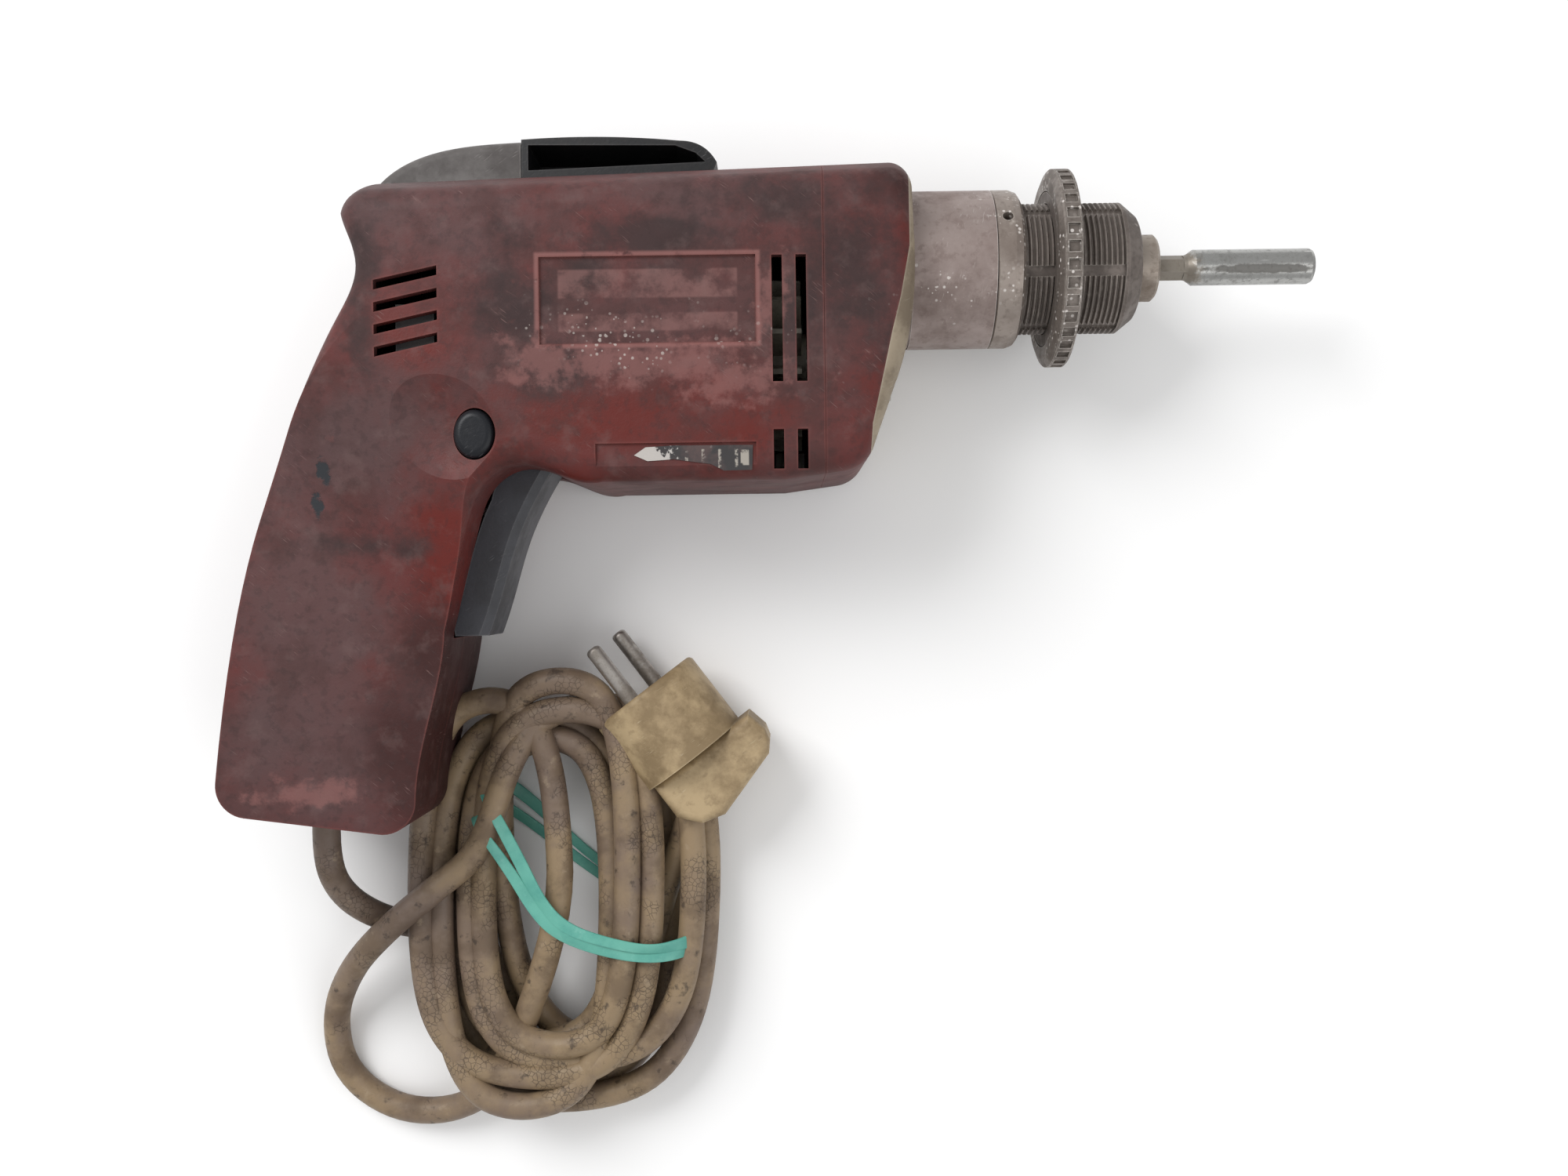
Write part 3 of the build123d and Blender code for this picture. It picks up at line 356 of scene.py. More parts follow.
# Each turn of the hank passes these extremes, counter-clockwise: bottom, right, top, left.
INNER_TURNS = [
    ("left", -125.0, -214.0, -29.0),
    ("bottom", -104.0, -237.0, -28.6), ("right", -82.0, -190.0, -28.8),
    ("top", -108.0, -138.0, -28.8), ("left", -142.0, -196.0, -28.8),
    ("bottom", -110.5, -247.0, -28.6), ("right", -72.5, -184.0, -28.6),
    ("top", -106.5, -130.5, -25.5), ("left", -147.0, -196.0, -22.5),
    ("bottom", -106.0, -250.0, -22.0), ("right", -61.0, -176.0, -21.5),
    ("top", -98.5, -129.0, -21.0), ("left", -138.0, -190.0, -22.0),
    ("bottom", -114.5, -232.0, -22.0), ("right", -88.0, -178.0, -20.5),
    ("top", -114.0, -130.0, -19.5), ("left", -143.0, -191.0, -15.0),
    ("bottom", -117.5, -249.0, -13.5), ("right", -90.0, -182.0, -14.0),
    ("top", -110.5, -136.0, -15.5), ("left", -134.0, -190.0, -14.5),
    ("bottom", -104.0, -236.0, -15.5), ("right", -65.0, -178.0, -14.5),
    ("top", -93.0, -126.5, -14.0)]
OUTER_TURNS = [
    ("right", -104.5, -190.0, -8.2),
    ("top", -126.0, -124.0, -12.5), ("left", -148.5, -193.0, -13.5),
    ("bottom", -110.0, -240.0, -14.0), ("right", -77.5, -174.0, -11.5),
    ("top", -103.0, -127.0, -9.5), ("left", -129.5, -190.0, -13.0),
    ("bottom", -105.0, -230.0, -12.0), ("right", -84.5, -168.0, -8.2),
    ("top", -103.6, -118.4, -8.4), ("left", -124.5, -160.0, -16.0)]
TAIL = [(-124.0, -188.0, -19.0), (-119.5, -214.0, -22.5), (-107.5, -232.0, -26.5),
        (-91.5, -231.5, -28.5), (-82.0, -215.0, -28.5), (-77.5, -194.0, -26.0),
        (-72.0, -176.0, -21.0), (-66.5, -161.0, -16.5)]
STEPS = 4                                   # points of each quarter of a turn
SQUARENESS = 0.72                           # 1 for quarter ellipses, less for fuller corners


def quarter_turns(extremes):
    """Points on full-cornered quarter ellipses from each extreme to the next."""
    points = []
    for (name, x, y, z), (_, x_next, y_next, z_next) in zip(extremes, extremes[1:]):
        for step in range(STEPS):
            angle = math.pi / 2 * step / STEPS
            far, near = math.sin(angle) ** SQUARENESS, 1 - math.cos(angle) ** SQUARENESS
            along_x, along_y = (far, near) if name in ("bottom", "top") else (near, far)
            lift = 0.5 - 0.5 * math.cos(math.pi * step / STEPS)
            points.append((x + (x_next - x) * along_x, y + (y_next - y) * along_y,
                           z + (z_next - z) * lift))
    points.append(extremes[-1][1:])
    return points


def cord_route():
    """The cord's control points, in metres in the row frame."""
    return [at(*p) for p in (LEAD + quarter_turns(INNER_TURNS) + INTO_LOOP + LOOP
                             + quarter_turns(OUTER_TURNS) + TAIL)]


def spline_object(name, points, radius):
    """A round tube on one open NURBS spline with these control points."""
    curve = bpy.data.curves.new(name, "CURVE")
    curve.dimensions = "3D"
    curve.bevel_depth = radius
    curve.bevel_resolution = 6
    curve.resolution_u = 6
    curve.use_fill_caps = True
    spline = curve.splines.new("NURBS")
    spline.points.add(len(points) - 1)
    for control, point in zip(spline.points, points):
        control.co = (*point, 1.0)
    spline.order_u = 3
    spline.use_endpoint_u = True
    piece = bpy.data.objects.new(name, curve)
    bpy.context.scene.collection.objects.link(piece)
    return piece


def build_cord():
    """The whole cord as one piece, with the points it follows."""
    route = cord_route()
    cord = spline_object("mains_cord", route, CORD_DIAMETER / 2)
    cord.data.materials.append(cord_finish())
    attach(cord, "root")
    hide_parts("cord_lead", "cord_loop", "cord_hank")
    return cord, route


BAND_STRANDS = [                            # each strand's closed line, in mm
    [(-131.5, -158.5, -14.0), (-129.5, -161.5, -6.0), (-119.4, -173.5, -2.2),
     (-111.0, -187.5, -2.4), (-103.4, -194.8, -2.8), (-89.5, -199.6, -4.0), (-77.9, -202.2, -6.5),
     (-68.5, -201.5, -10.0), (-64.8, -200.5, -18.0), (-66.0, -199.5, -28.0), (-76.0, -196.0, -33.0),
     (-100.0, -180.0, -33.2), (-121.0, -163.0, -33.0), (-131.0, -156.0, -27.0)],
    [(-129.0, -150.5, -14.0), (-126.5, -153.5, -6.0), (-117.5, -168.5, -2.4),
     (-109.6, -184.5, -2.0), (-102.4, -192.2, -2.2), (-89.0, -196.9, -3.6), (-77.9, -199.6, -6.0),
     (-67.8, -198.6, -10.0), (-63.8, -197.8, -18.0), (-65.0, -197.0, -28.0), (-76.0, -193.0, -33.0),
     (-100.0, -176.0, -33.2), (-119.0, -157.0, -33.0), (-129.0, -149.0, -27.0)]]
BAND_HALF_WIDTH = 1.3 * MM
BAND_HALF_THICKNESS = 0.45 * MM
BAND_TWIST = 0.55                           # how far the strands turn off the flat, in radians
BAND_PINCH = 0.16                           # how much narrower they get in places


def build_band():
    """Two flat rubber strands that twist as they run round the hank."""
    ribbon = bpy.data.curves.new("rubber_band", "CURVE")
    ribbon.dimensions = "3D"
    ribbon.twist_mode = "Z_UP"
    ribbon.extrude = BAND_HALF_WIDTH
    ribbon.bevel_depth = BAND_HALF_THICKNESS
    ribbon.bevel_resolution = 3
    ribbon.resolution_u = 10
    ribbon.materials.append(band_finish())
    for strand, places in enumerate(BAND_STRANDS):
        spline = ribbon.splines.new("NURBS")
        spline.points.add(len(places) - 1)
        for step, (control, spot) in enumerate(zip(spline.points, places)):
            control.co = (*at(*spot), 1.0)
            control.tilt = math.pi / 2 + BAND_TWIST * math.sin(1.9 * step + 2.2 * strand)
            control.radius = 1.0 - BAND_PINCH * math.sin(1.3 * step + strand)
        spline.order_u = 3
        spline.use_cyclic_u = True
    shape = bpy.data.objects.new("rubber_band_line", ribbon)
    bpy.context.scene.collection.objects.link(shape)
    bpy.context.view_layer.update()
    skin = bpy.data.meshes.new_from_object(shape.evaluated_get(
        bpy.context.evaluated_depsgraph_get()))
    bpy.data.objects.remove(shape)
    skin.shade_smooth()
    band = bpy.data.objects.new("rubber_band", skin)
    bpy.context.scene.collection.objects.link(band)
    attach(band, "root")
    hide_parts("hank_tie")
    return band


# ---- housing ----------------------------------------------------------------------------------
SHELL_RED = (0.112, 0.015, 0.011)
SHELL_MAUVE = (0.078, 0.033, 0.032)
SHELL_GRIMED = (0.082, 0.050, 0.050)
SOOT = (0.034, 0.024, 0.024)
SCUFF = (0.230, 0.100, 0.092)
# painted shade: a near-black red for the edges that face right, where shade falls
PAINTED_SHADE_RED = (0.030, 0.009, 0.008)
BRIGHT_FIELDS = [                 # where the red still shows: middle x, y and half sizes, in mm
    (-82.0, -44.0, 34.0, 11.0), (-122.0, -52.0, 19.0, 17.0), (-128.0, -83.0, 11.0, 26.0),
    (-134.0, -24.0, 12.0, 9.0), (-48.0, -50.0, 16.0, 9.0), (-9.0, -47.0, 9.0, 14.0),
    (-95.0, -62.5, 20.0, 4.0), (-150.0, -118.0, 12.0, 9.0), (-2.0, -4.0, 4.0, 12.0)]
SOOT_FIELDS = [
    (-112.0, -12.0, 12.0, 13.0), (-90.0, -6.0, 9.0, 6.0), (-68.0, -7.0, 8.0, 5.0),
    (-16.0, -8.0, 11.0, 24.0), (-40.0, 13.0, 20.0, 7.0), (-30.0, -18.0, 7.0, 17.0),
    (-68.0, 3.0, 24.0, 5.0), (-98.0, -34.0, 11.0, 8.0),
    (-152.0, -79.0, 17.0, 3.5), (-150.0, -10.0, 7.0, 20.0)]
GRIME_FIELDS = [
    (-170.0, -95.0, 22.0, 48.0), (-160.0, -132.0, 30.0, 26.0), (-120.0, 10.0, 46.0, 13.0),
    (-150.0, -55.0, 15.0, 24.0), (-60.0, 14.0, 60.0, 9.0), (-176.0, -128.0, 16.0, 26.0)]
# painted shade: down the handle's right edge and on the housing's front edges, where shade falls
PAINTED_SHADE_FIELDS = [(-139.0, -140.0, 14.0, 24.0), (-134.0, -108.0, 8.0, 14.0), (-8.0, 20.0, 9.0, 8.0),
                (-4.0, -40.0, 5.0, 10.0)]
CHIPS = [(-162.6, -58.5, 1.7, 3.4), (-165.2, -68.0, 1.8, 3.2)]
NAME_FIELD = (-72.4, -14.2, 29.1, 11.7)


def fields(tree, places, softness, raggedness, scale):
    """The union of several ragged patches."""
    covered = None
    for x, y, half_x, half_y in places:
        mask = effect(tree, "patch", Centre=at(x, y, 0.0), Size=half_size(half_x, half_y),
                      Softness=softness, Raggedness=raggedness, Scale=scale)
        covered = mask if covered is None else calc(tree, "MAXIMUM", covered, mask)
    return covered


def housing_finish():
    """Red moulding gone mauve: bright where it is wiped, grimed where held, sooty and scuffed, with
    painted shade darkening the edges that face right.
    """
    material, tree, sockets = new_material("worn_red_housing", Specular_IOR_Level=0.22)
    colour = mix(tree, effect(tree, "soiling", Scale=17.0, Amount=0.5, Softness=0.10),
                 SHELL_MAUVE, (0.105, 0.026, 0.024))
    bright = fields(tree, BRIGHT_FIELDS, 0.55, 0.75, 42.0)
    colour = mix(tree, share(tree, bright, 0.86), colour, SHELL_RED)
    grime = fields(tree, GRIME_FIELDS, 0.60, 0.85, 30.0)
    colour = mix(tree, share(tree, grime, 0.70), colour, SHELL_GRIMED)
    cloud = effect(tree, "soiling", Scale=60.0, Amount=0.42, Softness=0.09, Offset=(0.3, 0.1, 0.7))
    colour = mix(tree, share(tree, cloud, 0.42), colour, (0.046, 0.020, 0.018))
    # painted shade darkens the right-facing edges
    painted_shade = fields(tree, PAINTED_SHADE_FIELDS, 0.70, 0.60, 26.0)
    colour = mix(tree, share(tree, painted_shade, 0.80), colour, PAINTED_SHADE_RED)
    soot = fields(tree, SOOT_FIELDS, 0.60, 0.95, 55.0)
    colour = mix(tree, share(tree, soot, 0.80), colour, SOOT)
    pepper = effect(tree, "soiling", Scale=330.0, Amount=0.40, Softness=0.07,
                    Offset=(0.5, 0.2, 0.4))
    colour = mix(tree, share(tree, pepper, 0.30), colour, (0.030, 0.018, 0.018))
    dust = effect(tree, "soiling", Scale=120.0, Amount=0.33, Softness=0.10, Offset=(0.1, 0.9, 0.2))
    colour = mix(tree, share(tree, dust, 0.26), colour, (0.150, 0.095, 0.090))

    x, y, half_x, half_y = NAME_FIELD
    print_wear = effect(tree, "soiling", Scale=95.0, Amount=0.55, Softness=0.10)
    for low, high in ((y - half_y + 3.4, y - half_y + 8.2), (y + 0.6, y + half_y - 3.4)):
        stripe = effect(tree, "bar", Centre=at(x, (low + high) / 2, 0.0),
                        Half=half_size(half_x - 5.0, (high - low) / 2))
        colour = mix(tree, share(tree, calc(tree, "MULTIPLY", stripe, print_wear), 0.42), colour,
                     (0.260, 0.130, 0.120))
    rim = calc(tree, "SUBTRACT",
               effect(tree, "bar", Centre=at(x, y, 0.0), Half=half_size(half_x + 1.2, half_y + 1.2),
                      Softness=0.0005),
               effect(tree, "bar", Centre=at(x, y, 0.0), Half=half_size(half_x, half_y),
                      Softness=0.0005))
    rub = effect(tree, "soiling", Scale=140.0, Amount=0.62, Softness=0.06, Offset=(0.6, 0.6, 0.1))
    colour = mix(tree, share(tree, calc(tree, "MULTIPLY", rim, rub), 0.75), colour, SCUFF)
    scuffs = fields(tree, [(-101.0, -30.0, 10.0, 6.0), (-70.0, -31.0, 30.0, 5.0),
                           (-50.0, -36.0, 12.0, 6.0), (-38.5, -15.0, 4.0, 10.0),
                           (-170.0, -147.0, 12.0, 3.5)], 0.50, 1.15, 150.0)
    colour = mix(tree, share(tree, scuffs, 0.55), colour, SCUFF)
    lines = effect(tree, "scratches", Stretch=(1.0, 9.0, 1.0), Scale=260.0, Amount=0.16, Turn=0.7)
    colour = mix(tree, share(tree, lines, 0.45), colour, (0.250, 0.150, 0.140))
    rubbed = effect(tree, "edge wear", Width=0.0012, Scale=300.0, Breakup=0.45)
    colour = mix(tree, share(tree, rubbed, 0.50), colour, (0.190, 0.058, 0.050))
    paint = calc(tree, "MULTIPLY",
                 effect(tree, "specks", Scale=800.0, Amount=0.55, Size=0.55),
                 fields(tree, [(-40.0, -12.0, 5.0, 14.0), (-104.0, -12.0, 4.0, 12.0),
                               (-68.0, -22.0, 30.0, 12.0), (-12.0, -28.0, 12.0, 12.0)],
                        0.5, 0.8, 90.0))
    colour = mix(tree, share(tree, paint, 0.80), colour, (0.480, 0.430, 0.400))
    chips = fields(tree, CHIPS, 0.20, 0.75, 260.0)
    colour = mix(tree, chips, colour, (0.026, 0.028, 0.032))

    gloss = ramp(tree, bright, 0.0, 1.0, 0.56, 0.43)
    gloss = calc(tree, "ADD", gloss, share(tree, soot, 0.16))
    gloss = calc(tree, "ADD", gloss, share(tree, cloud, 0.07))
    pits = noise(tree, place(tree), 1500.0, 3.0, 0.6)
    dents = noise(tree, place(tree), 160.0, 5.0, 0.6)
    normal = bump(tree, pits, 0.35, 0.00012)
    normal = bump(tree, dents, 0.30, 0.0005, normal)
    normal = bump(tree, calc(tree, "SUBTRACT", 1.0, calc(tree, "MAXIMUM", lines, chips)), 0.5,
                  0.00025, normal)
    wear(tree, sockets, colour, gloss, normal)
    return material


# ---- other mouldings --------------------------------------------------------------------------
def moulded(name, base, soil, scuff, roughness, soil_share=0.5, grain=1100.0, scale=55.0, edge=0.5,
            **shader):
    """Moulded plastic or rubber: soil in clouds, scuffs along edges, fine scratches and grain."""
    material, tree, sockets = new_material(name, **shader)
    clouds = effect(tree, "soiling", Scale=scale, Amount=soil_share, Softness=0.12)
    fine = effect(tree, "soiling", Scale=scale * 6, Amount=0.35, Softness=0.08,
                  Offset=(0.4, 0.2, 0.1))
    colour = mix(tree, share(tree, clouds, 0.75), base, soil)
    colour = mix(tree, share(tree, fine, 0.35), colour, soil)
    lines = effect(tree, "scratches", Stretch=(1.0, 8.0, 1.0), Scale=320.0, Amount=0.17, Turn=-0.6)
    rubbed = effect(tree, "edge wear", Width=0.0009, Scale=380.0, Breakup=0.4)
    colour = mix(tree, share(tree, calc(tree, "MAXIMUM", lines, rubbed), edge), colour, scuff)
    gloss = calc(tree, "ADD", roughness, share(tree, clouds, 0.14))
    gloss = calc(tree, "SUBTRACT", gloss, share(tree, rubbed, 0.10))
    normal = bump(tree, noise(tree, place(tree), grain, 4.0), 0.30, 0.00014)
    normal = bump(tree, calc(tree, "SUBTRACT", 1.0, lines), 0.4, 0.0002, normal)
    wear(tree, sockets, colour, gloss, normal)
    return material


LABEL_RULES = (                             # place along the label, half width in m, half height
    (0.93, 0.0011, 0.30), (0.86, 0.0004, 0.36), (0.72, 0.0004, 0.40), (0.58, 0.0004, 0.34),
    (0.44, 0.0004, 0.28))


def label_finish():
    """A black foil label, scraped white along its ends, with plain rules in place of print."""
    material, tree, sockets = new_material("torn_black_label", Roughness=0.4)
    colour = mix(tree, effect(tree, "soiling", Scale=120.0, Amount=0.45, Softness=0.1),
                 (0.030, 0.027, 0.028), (0.075, 0.048, 0.046))
    low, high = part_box("rating_label")
    length = high[0] - low[0]
    middle = [(a + b) / 2 for a, b in zip(low, high)]
    for x_share, width, y_share in LABEL_RULES:
        rule = effect(tree, "bar", Centre=(low[0] + x_share * length, middle[1], middle[2]),
                      Half=(width, (high[1] - low[1]) * y_share, 0.05), Softness=0.00015)
        worn = effect(tree, "soiling", Scale=420.0, Amount=0.52, Softness=0.05)
        colour = mix(tree, share(tree, calc(tree, "MULTIPLY", rule, worn), 0.75), colour,
                     (0.42, 0.38, 0.33))
    torn = effect(tree, "patch", Centre=(low[0], middle[1], middle[2]),
                  Size=(length * 0.30, 0.009, 0.05), Softness=0.12, Raggedness=1.3, Scale=300.0)
    colour = mix(tree, share(tree, torn, 0.85), colour, (0.50, 0.47, 0.44))
    flakes = effect(tree, "specks", Scale=1100.0, Amount=0.5, Size=0.6)
    colour = mix(tree, share(tree, flakes, 0.7), colour, (0.55, 0.52, 0.48))
    normal = bump(tree, calc(tree, "ADD", torn, noise(tree, place(tree), 700.0)), 0.35, 0.00012)
    wear(tree, sockets, colour, ramp(tree, torn, 0.0, 1.0, 0.36, 0.75), normal)
    return material


# ---- metals -----------------------------------------------------------------------------------
def metal(name, base, tarnish, bright, roughness=0.38, metallic=0.85, tarnished=0.5, scale=70.0,
          stretch=(1.0, 1.0, 1.0), turn=0.0, streaks=0.20, paint=0.0, edge=0.7,
          stains_and_dark_reflections=(), **shader):
    """Used metal: tarnish in clouds, turning or handling marks, bright rubbed edges, specks."""
    material, tree, sockets = new_material(name, **shader)
    clouds = effect(tree, "soiling", Scale=scale, Amount=tarnished, Softness=0.13)
    fine = effect(tree, "soiling", Scale=scale * 7, Amount=0.38, Softness=0.07,
                  Offset=(0.2, 0.5, 0.9))
    colour = mix(tree, share(tree, clouds, 0.70), base, tarnish)
    colour = mix(tree, share(tree, fine, 0.40), colour, tarnish)
    lines = effect(tree, "scratches", Stretch=stretch, Scale=420.0, Amount=streaks, Turn=turn)
    colour = mix(tree, share(tree, lines, 0.55), colour, bright)
    rubbed = effect(tree, "edge wear", Width=0.0006, Scale=600.0, Breakup=0.35)
    colour = mix(tree, share(tree, rubbed, edge), colour, bright)
    soil = calc(tree, "MAXIMUM", clouds, share(tree, fine, 0.6))
    # patches darken the colour and dull the shine; the bit holder's second patch is a painted dark
    # reflection band
    for x, y, half_x, half_y, patch_tint in stains_and_dark_reflections:
        mask = effect(tree, "patch", Centre=at(x, y, 0.0), Size=half_size(half_x, half_y),
                      Softness=0.2, Raggedness=0.45, Scale=220.0)
        colour = mix(tree, share(tree, mask, 0.80), colour, patch_tint)
        soil = calc(tree, "MAXIMUM", soil, mask)
    shine = ramp(tree, soil, 0.0, 1.0, metallic, metallic * 0.55)
    gloss = ramp(tree, soil, 0.0, 1.0, roughness, roughness + 0.22)
    gloss = calc(tree, "SUBTRACT", gloss, share(tree, rubbed, 0.10))
    if paint:
        specks = effect(tree, "specks", Scale=900.0, Amount=paint, Size=0.6)
        colour = mix(tree, share(tree, specks, 0.85), colour, (0.62, 0.58, 0.55))
        shine = calc(tree, "SUBTRACT", shine, share(tree, specks, metallic), clamp=True)
    normal = bump(tree, noise(tree, place(tree), 900.0, 4.0), 0.25, 0.00012)
    normal = bump(tree, calc(tree, "SUBTRACT", 1.0, lines), 0.35, 0.00015, normal)
    wear(tree, sockets, colour, gloss, normal, shine)
    return material


def layered_metal(name, base, gap, pitch, axis, roughness=0.4, metallic=0.8):
    """Stacked sheets or wound wire: fine ridges that repeat along one axis, with tarnish."""
    material, tree, sockets = new_material(name)
    spread = add(tree, "ShaderNodeSeparateXYZ", {0: place(tree)}).outputs[axis]
    sway = share(tree, noise(tree, place(tree), 60.0, 3.0), pitch)
    phase = calc(tree, "MULTIPLY", calc(tree, "ADD", spread, sway), 2 * math.pi / pitch)
    ridge = ramp(tree, calc(tree, "SINE", phase), -1.0, 1.0)
    clouds = effect(tree, "soiling", Scale=90.0, Amount=0.45, Softness=0.12)
    colour = mix(tree, ridge, gap, base)
    colour = mix(tree, share(tree, clouds, 0.45), colour, gap)
    wear(tree, sockets, colour, ramp(tree, clouds, 0.0, 1.0, roughness, roughness + 0.25),
         bump(tree, ridge, 0.8, pitch * 0.4),
         ramp(tree, clouds, 0.0, 1.0, metallic, metallic * 0.6))
    return material


# ---- cord, plug and band ----------------------------------------------------------------------
def cord_finish():
    """Old rubber, yellowed or greyed in long stretches, with dark soil and cross cracks."""
    material, tree, sockets = new_material("aged_cord_rubber", Specular_IOR_Level=0.38)
    here = place(tree)
    colour = mix(tree, effect(tree, "soiling", Scale=22.0, Amount=0.50, Softness=0.10),
                 (0.265, 0.190, 0.112), (0.180, 0.128, 0.092))
    grey = effect(tree, "soiling", Scale=34.0, Amount=0.36, Softness=0.08, Offset=(0.7, 0.3, 0.2))
    colour = mix(tree, share(tree, grey, 0.75), colour, (0.150, 0.108, 0.088))
    near_housing = effect(tree, "patch", Centre=at(-164.0, -178.0, -12.0),
                          Size=half_size(24.0, 26.0, 40.0), Softness=0.5, Raggedness=0.3,
                          Scale=40.0)
    colour = mix(tree, share(tree, near_housing, 0.7), colour, (0.125, 0.092, 0.078))
    brown = effect(tree, "soiling", Scale=75.0, Amount=0.42, Softness=0.10, Offset=(0.2, 0.8, 0.5))
    colour = mix(tree, share(tree, brown, 0.55), colour, (0.095, 0.062, 0.038))
    black = effect(tree, "soiling", Scale=240.0, Amount=0.27, Softness=0.06, Offset=(0.9, 0.1, 0.3))
    colour = mix(tree, share(tree, black, 0.70), colour, (0.036, 0.026, 0.020))
    pale = effect(tree, "soiling", Scale=180.0, Amount=0.24, Softness=0.07, Offset=(0.4, 0.4, 0.8))
    colour = mix(tree, share(tree, pale, 0.45), colour, (0.360, 0.280, 0.190))
    cracks = add(tree, "ShaderNodeTexVoronoi", {"Vector": here, "Scale": 620.0},
                 feature="DISTANCE_TO_EDGE").outputs["Distance"]
    crack = calc(tree, "MULTIPLY", ramp(tree, cracks, 0.07, 0.02),
                 ramp(tree, noise(tree, here, 70.0, 3.0), 0.52, 0.60))
    colour = mix(tree, share(tree, crack, 0.60), colour, (0.045, 0.030, 0.022))
    gloss = calc(tree, "ADD", ramp(tree, brown, 0.0, 1.0, 0.50, 0.64), share(tree, black, 0.1))
    normal = bump(tree, noise(tree, here, 700.0, 4.0), 0.28, 0.00015)
    normal = bump(tree, noise(tree, here, 130.0, 3.0), 0.35, 0.0007, normal)
    normal = bump(tree, calc(tree, "SUBTRACT", 1.0, crack), 0.5, 0.0002, normal)
    wear(tree, sockets, colour, gloss, normal)
    return material


def band_finish():
    """Teal rubber, paler where it is stretched."""
    material, tree, sockets = new_material("teal_rubber_band", Specular_IOR_Level=0.5)
    here = place(tree)
    colour = mix(tree, effect(tree, "soiling", Scale=90.0, Amount=0.45, Softness=0.12),
                 (0.120, 0.400, 0.320), (0.080, 0.320, 0.262))
    worn = effect(tree, "soiling", Scale=300.0, Amount=0.30, Softness=0.08, Offset=(0.3, 0.3, 0.3))
    colour = mix(tree, share(tree, worn, 0.35), colour, (0.240, 0.520, 0.440))
    wear(tree, sockets, colour, ramp(tree, worn, 0.0, 1.0, 0.42, 0.60),
         bump(tree, noise(tree, here, 900.0, 3.0), 0.35, 0.0002))
    return material


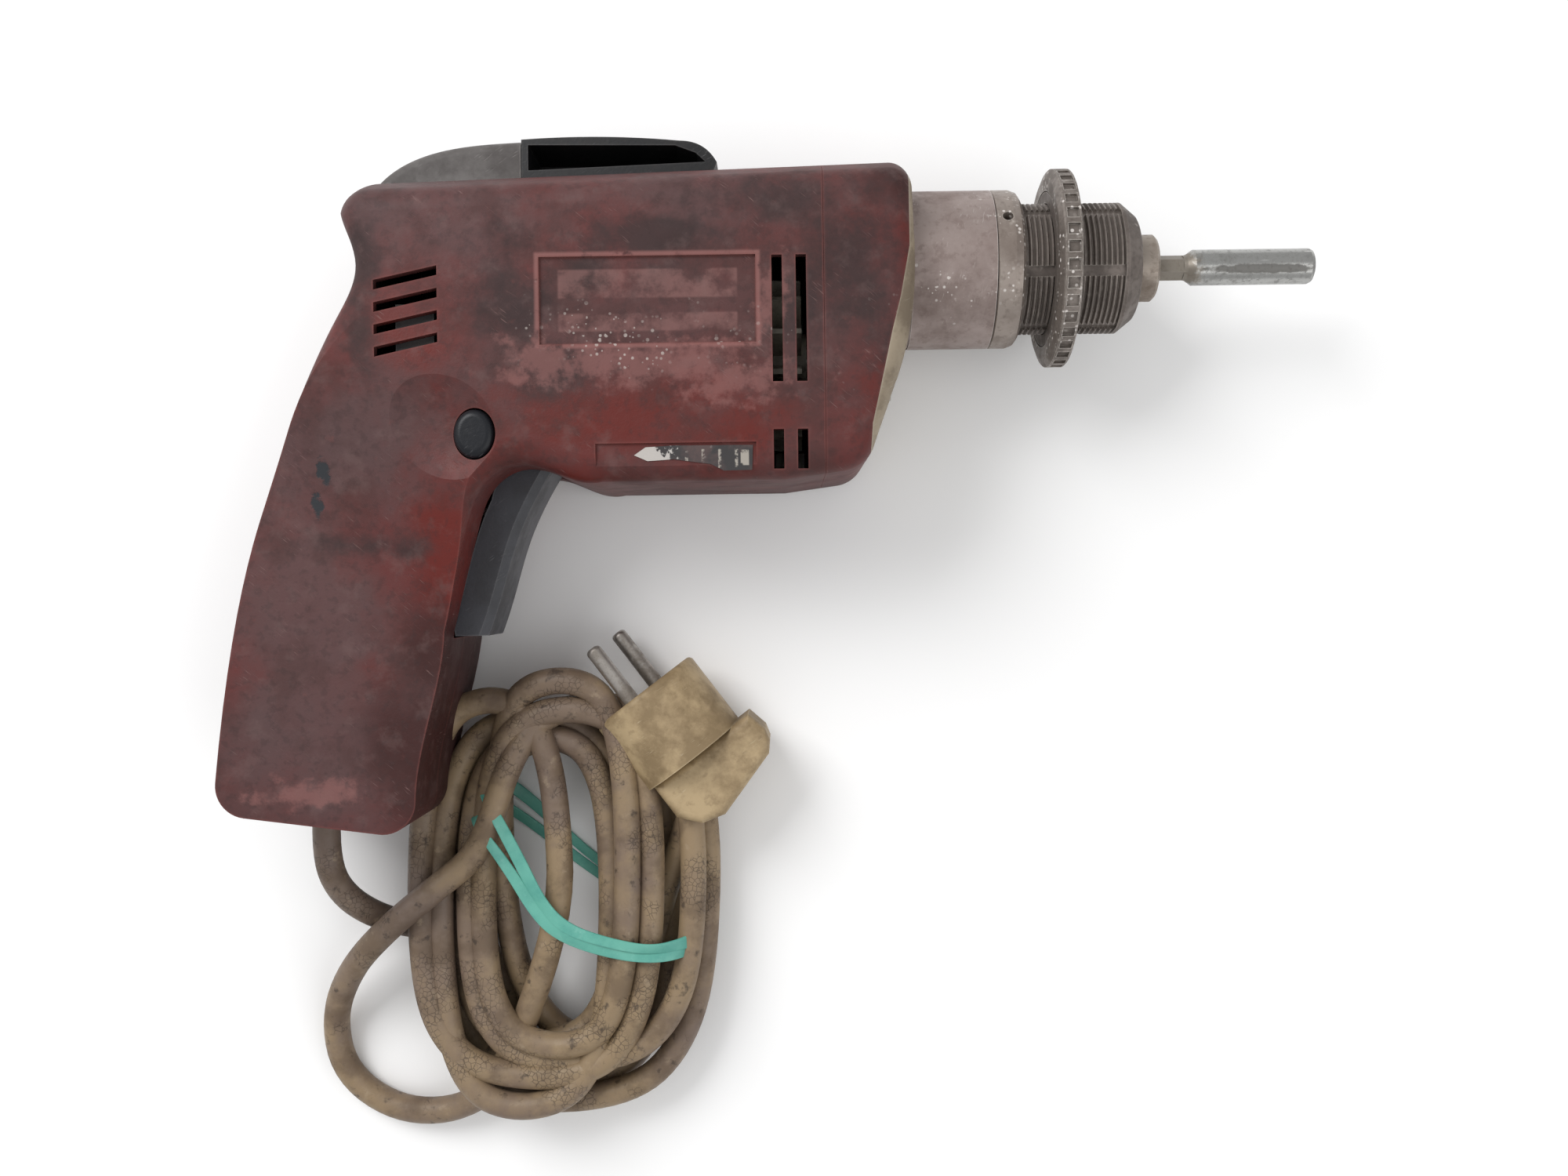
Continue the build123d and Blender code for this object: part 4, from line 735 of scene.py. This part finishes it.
def paint_nodes():
    """Every CAD node that stays gets its own finish."""
    red = housing_finish()
    finish(red, "right_shell", "left_shell", "gear_cover")
    finish(moulded("worn_cream_plate", (0.290, 0.235, 0.165), (0.120, 0.088, 0.058),
                   (0.400, 0.350, 0.280), 0.55, 0.48), "front_plate")
    finish(moulded("grey_hook", (0.135, 0.125, 0.120), (0.050, 0.043, 0.041),
                   (0.260, 0.245, 0.235), 0.48, 0.42, scale=40.0, Specular_IOR_Level=0.3),
           "hook_cap")
    finish(moulded("black_pocket", (0.009, 0.009, 0.010), (0.022, 0.018, 0.017),
                   (0.080, 0.076, 0.076), 0.42, 0.30, Specular_IOR_Level=0.3), "hook_pocket")
    finish(moulded("slate_trigger", (0.046, 0.047, 0.056), (0.030, 0.030, 0.034),
                   (0.180, 0.178, 0.185), 0.40, 0.40, edge=0.6), "trigger")
    finish(moulded("black_button", (0.009, 0.010, 0.013), (0.016, 0.016, 0.018),
                   (0.110, 0.110, 0.120), 0.36, 0.30, Specular_IOR_Level=0.25), "lock_button")
    finish(moulded("black_inner_plastic", (0.024, 0.024, 0.026), (0.060, 0.052, 0.048),
                   (0.110, 0.105, 0.100), 0.50, 0.35),
           "switch_body", "cord_clamp", "lock_seat", "rear_bearing_holder")
    finish(moulded("natural_fan_nylon", (0.360, 0.330, 0.270), (0.160, 0.130, 0.100),
                   (0.450, 0.420, 0.360), 0.45, 0.35), "cooling_fan")
    finish(moulded("yellow_capacitor_film", (0.480, 0.330, 0.070), (0.260, 0.170, 0.050),
                   (0.560, 0.430, 0.180), 0.30, 0.30), "capacitor")
    finish(moulded("cord_sleeve_rubber", (0.040, 0.034, 0.032), (0.090, 0.070, 0.060),
                   (0.110, 0.090, 0.080), 0.62, 0.45), "cord_sleeve")
    finish(label_finish(), "rating_label")
    finish(metal("dull_cast_collar", (0.330, 0.270, 0.250), (0.150, 0.105, 0.092),
                 (0.560, 0.520, 0.490), 0.46, 0.62, 0.50, scale=48.0, stretch=(7.0, 1.0, 1.0),
                 turn=0.25, streaks=0.19, paint=0.35), "gear_case")
    finish(metal("clamp_ring_steel", (0.310, 0.265, 0.235), (0.140, 0.108, 0.090),
                 (0.560, 0.520, 0.470), 0.44, 0.65, 0.45, paint=0.55),
           "clamp_ring", "bearing_plate")
    finish(metal("threaded_sleeve_steel", (0.175, 0.148, 0.132), (0.075, 0.060, 0.052),
                 (0.420, 0.380, 0.340), 0.46, 0.62, 0.50, scale=90.0, edge=0.55),
           "nose_sleeve", "index_washer")
    finish(metal("toothed_ring_steel", (0.230, 0.200, 0.180), (0.070, 0.054, 0.044),
                 (0.520, 0.480, 0.440), 0.42, 0.65, 0.48, scale=110.0, edge=0.9, paint=0.35),
           "depth_ring")
    finish(metal("spindle_steel", (0.330, 0.285, 0.245), (0.150, 0.112, 0.084),
                 (0.560, 0.520, 0.460), 0.42, 0.70, 0.45), "spindle")
    # bit holder: the first patch is a brown stain, the second a painted dark reflection band along
    # the holder's middle
    finish(metal("bit_holder_steel", (0.400, 0.400, 0.388), (0.075, 0.070, 0.064),
                 (0.760, 0.760, 0.740), 0.24, 1.0, 0.34, scale=110.0, stretch=(0.2, 1.6, 1.6),
                 streaks=0.16, stains_and_dark_reflections=((77.0, 0.0, 7.5, 9.0, (0.170, 0.140, 0.105)),
                                       (103.0, -1.6, 15.0, 1.3, (0.085, 0.080, 0.072)))),
           "bit_holder")
    finish(metal("plug_pin_steel", (0.430, 0.400, 0.370), (0.150, 0.125, 0.100),
                 (0.700, 0.680, 0.640), 0.32, 0.90, 0.42, scale=150.0), "plug_pins")
    finish(metal("zinc_screws", (0.300, 0.280, 0.250), (0.110, 0.085, 0.065),
                 (0.560, 0.540, 0.500), 0.40, 0.85, 0.40, scale=200.0),
           "housing_screws", "cover_screws", "clamp_screws")
    finish(metal("ground_steel", (0.500, 0.490, 0.470), (0.240, 0.205, 0.170),
                 (0.720, 0.710, 0.690), 0.26, 0.95, 0.30),
           "armature_shaft", "output_gear", "clutch_cone", "trigger_pin",
           "spindle_bearing_inner", "spindle_bearing_outer", "spindle_bearing_balls",
           "armature_bearing_inners", "armature_bearing_outers", "armature_bearing_balls")
    finish(metal("spring_wire", (0.360, 0.340, 0.310), (0.180, 0.140, 0.110),
                 (0.600, 0.580, 0.540), 0.34, 0.90, 0.35, scale=220.0),
           "trigger_spring", "lock_spring", "brush_springs", "clutch_spring", "bit_clip",
           "holder_magnet")
    finish(layered_metal("motor_laminations", (0.230, 0.235, 0.250), (0.085, 0.080, 0.080),
                         0.0007, 0), "field_core", "armature_core")
    finish(layered_metal("enamelled_winding", (0.420, 0.150, 0.055), (0.130, 0.042, 0.018),
                         0.0008, 1, 0.30, 0.70), "field_coils", "armature_winding")
    finish(metal("commutator_copper", (0.560, 0.290, 0.170), (0.220, 0.110, 0.070),
                 (0.760, 0.480, 0.320), 0.30, 0.95, 0.40, stretch=(7.0, 1.0, 1.0)), "commutator")
    finish(metal("brass_and_bronze", (0.520, 0.370, 0.150), (0.230, 0.150, 0.070),
                 (0.720, 0.560, 0.300), 0.34, 0.95, 0.38), "brush_holders", "gear_bush",
           "sleeve_bush")
    finish(moulded("graphite_brush", (0.022, 0.022, 0.023), (0.045, 0.044, 0.044),
                   (0.090, 0.090, 0.092), 0.58, 0.40), "carbon_brushes")
    finish(moulded("dirty_cream_plug", (0.410, 0.305, 0.172), (0.150, 0.098, 0.044),
                   (0.560, 0.460, 0.300), 0.52, 0.52, scale=60.0, edge=0.5), "plug_body")


cord, route = build_cord()
band = build_band()
paint_nodes()
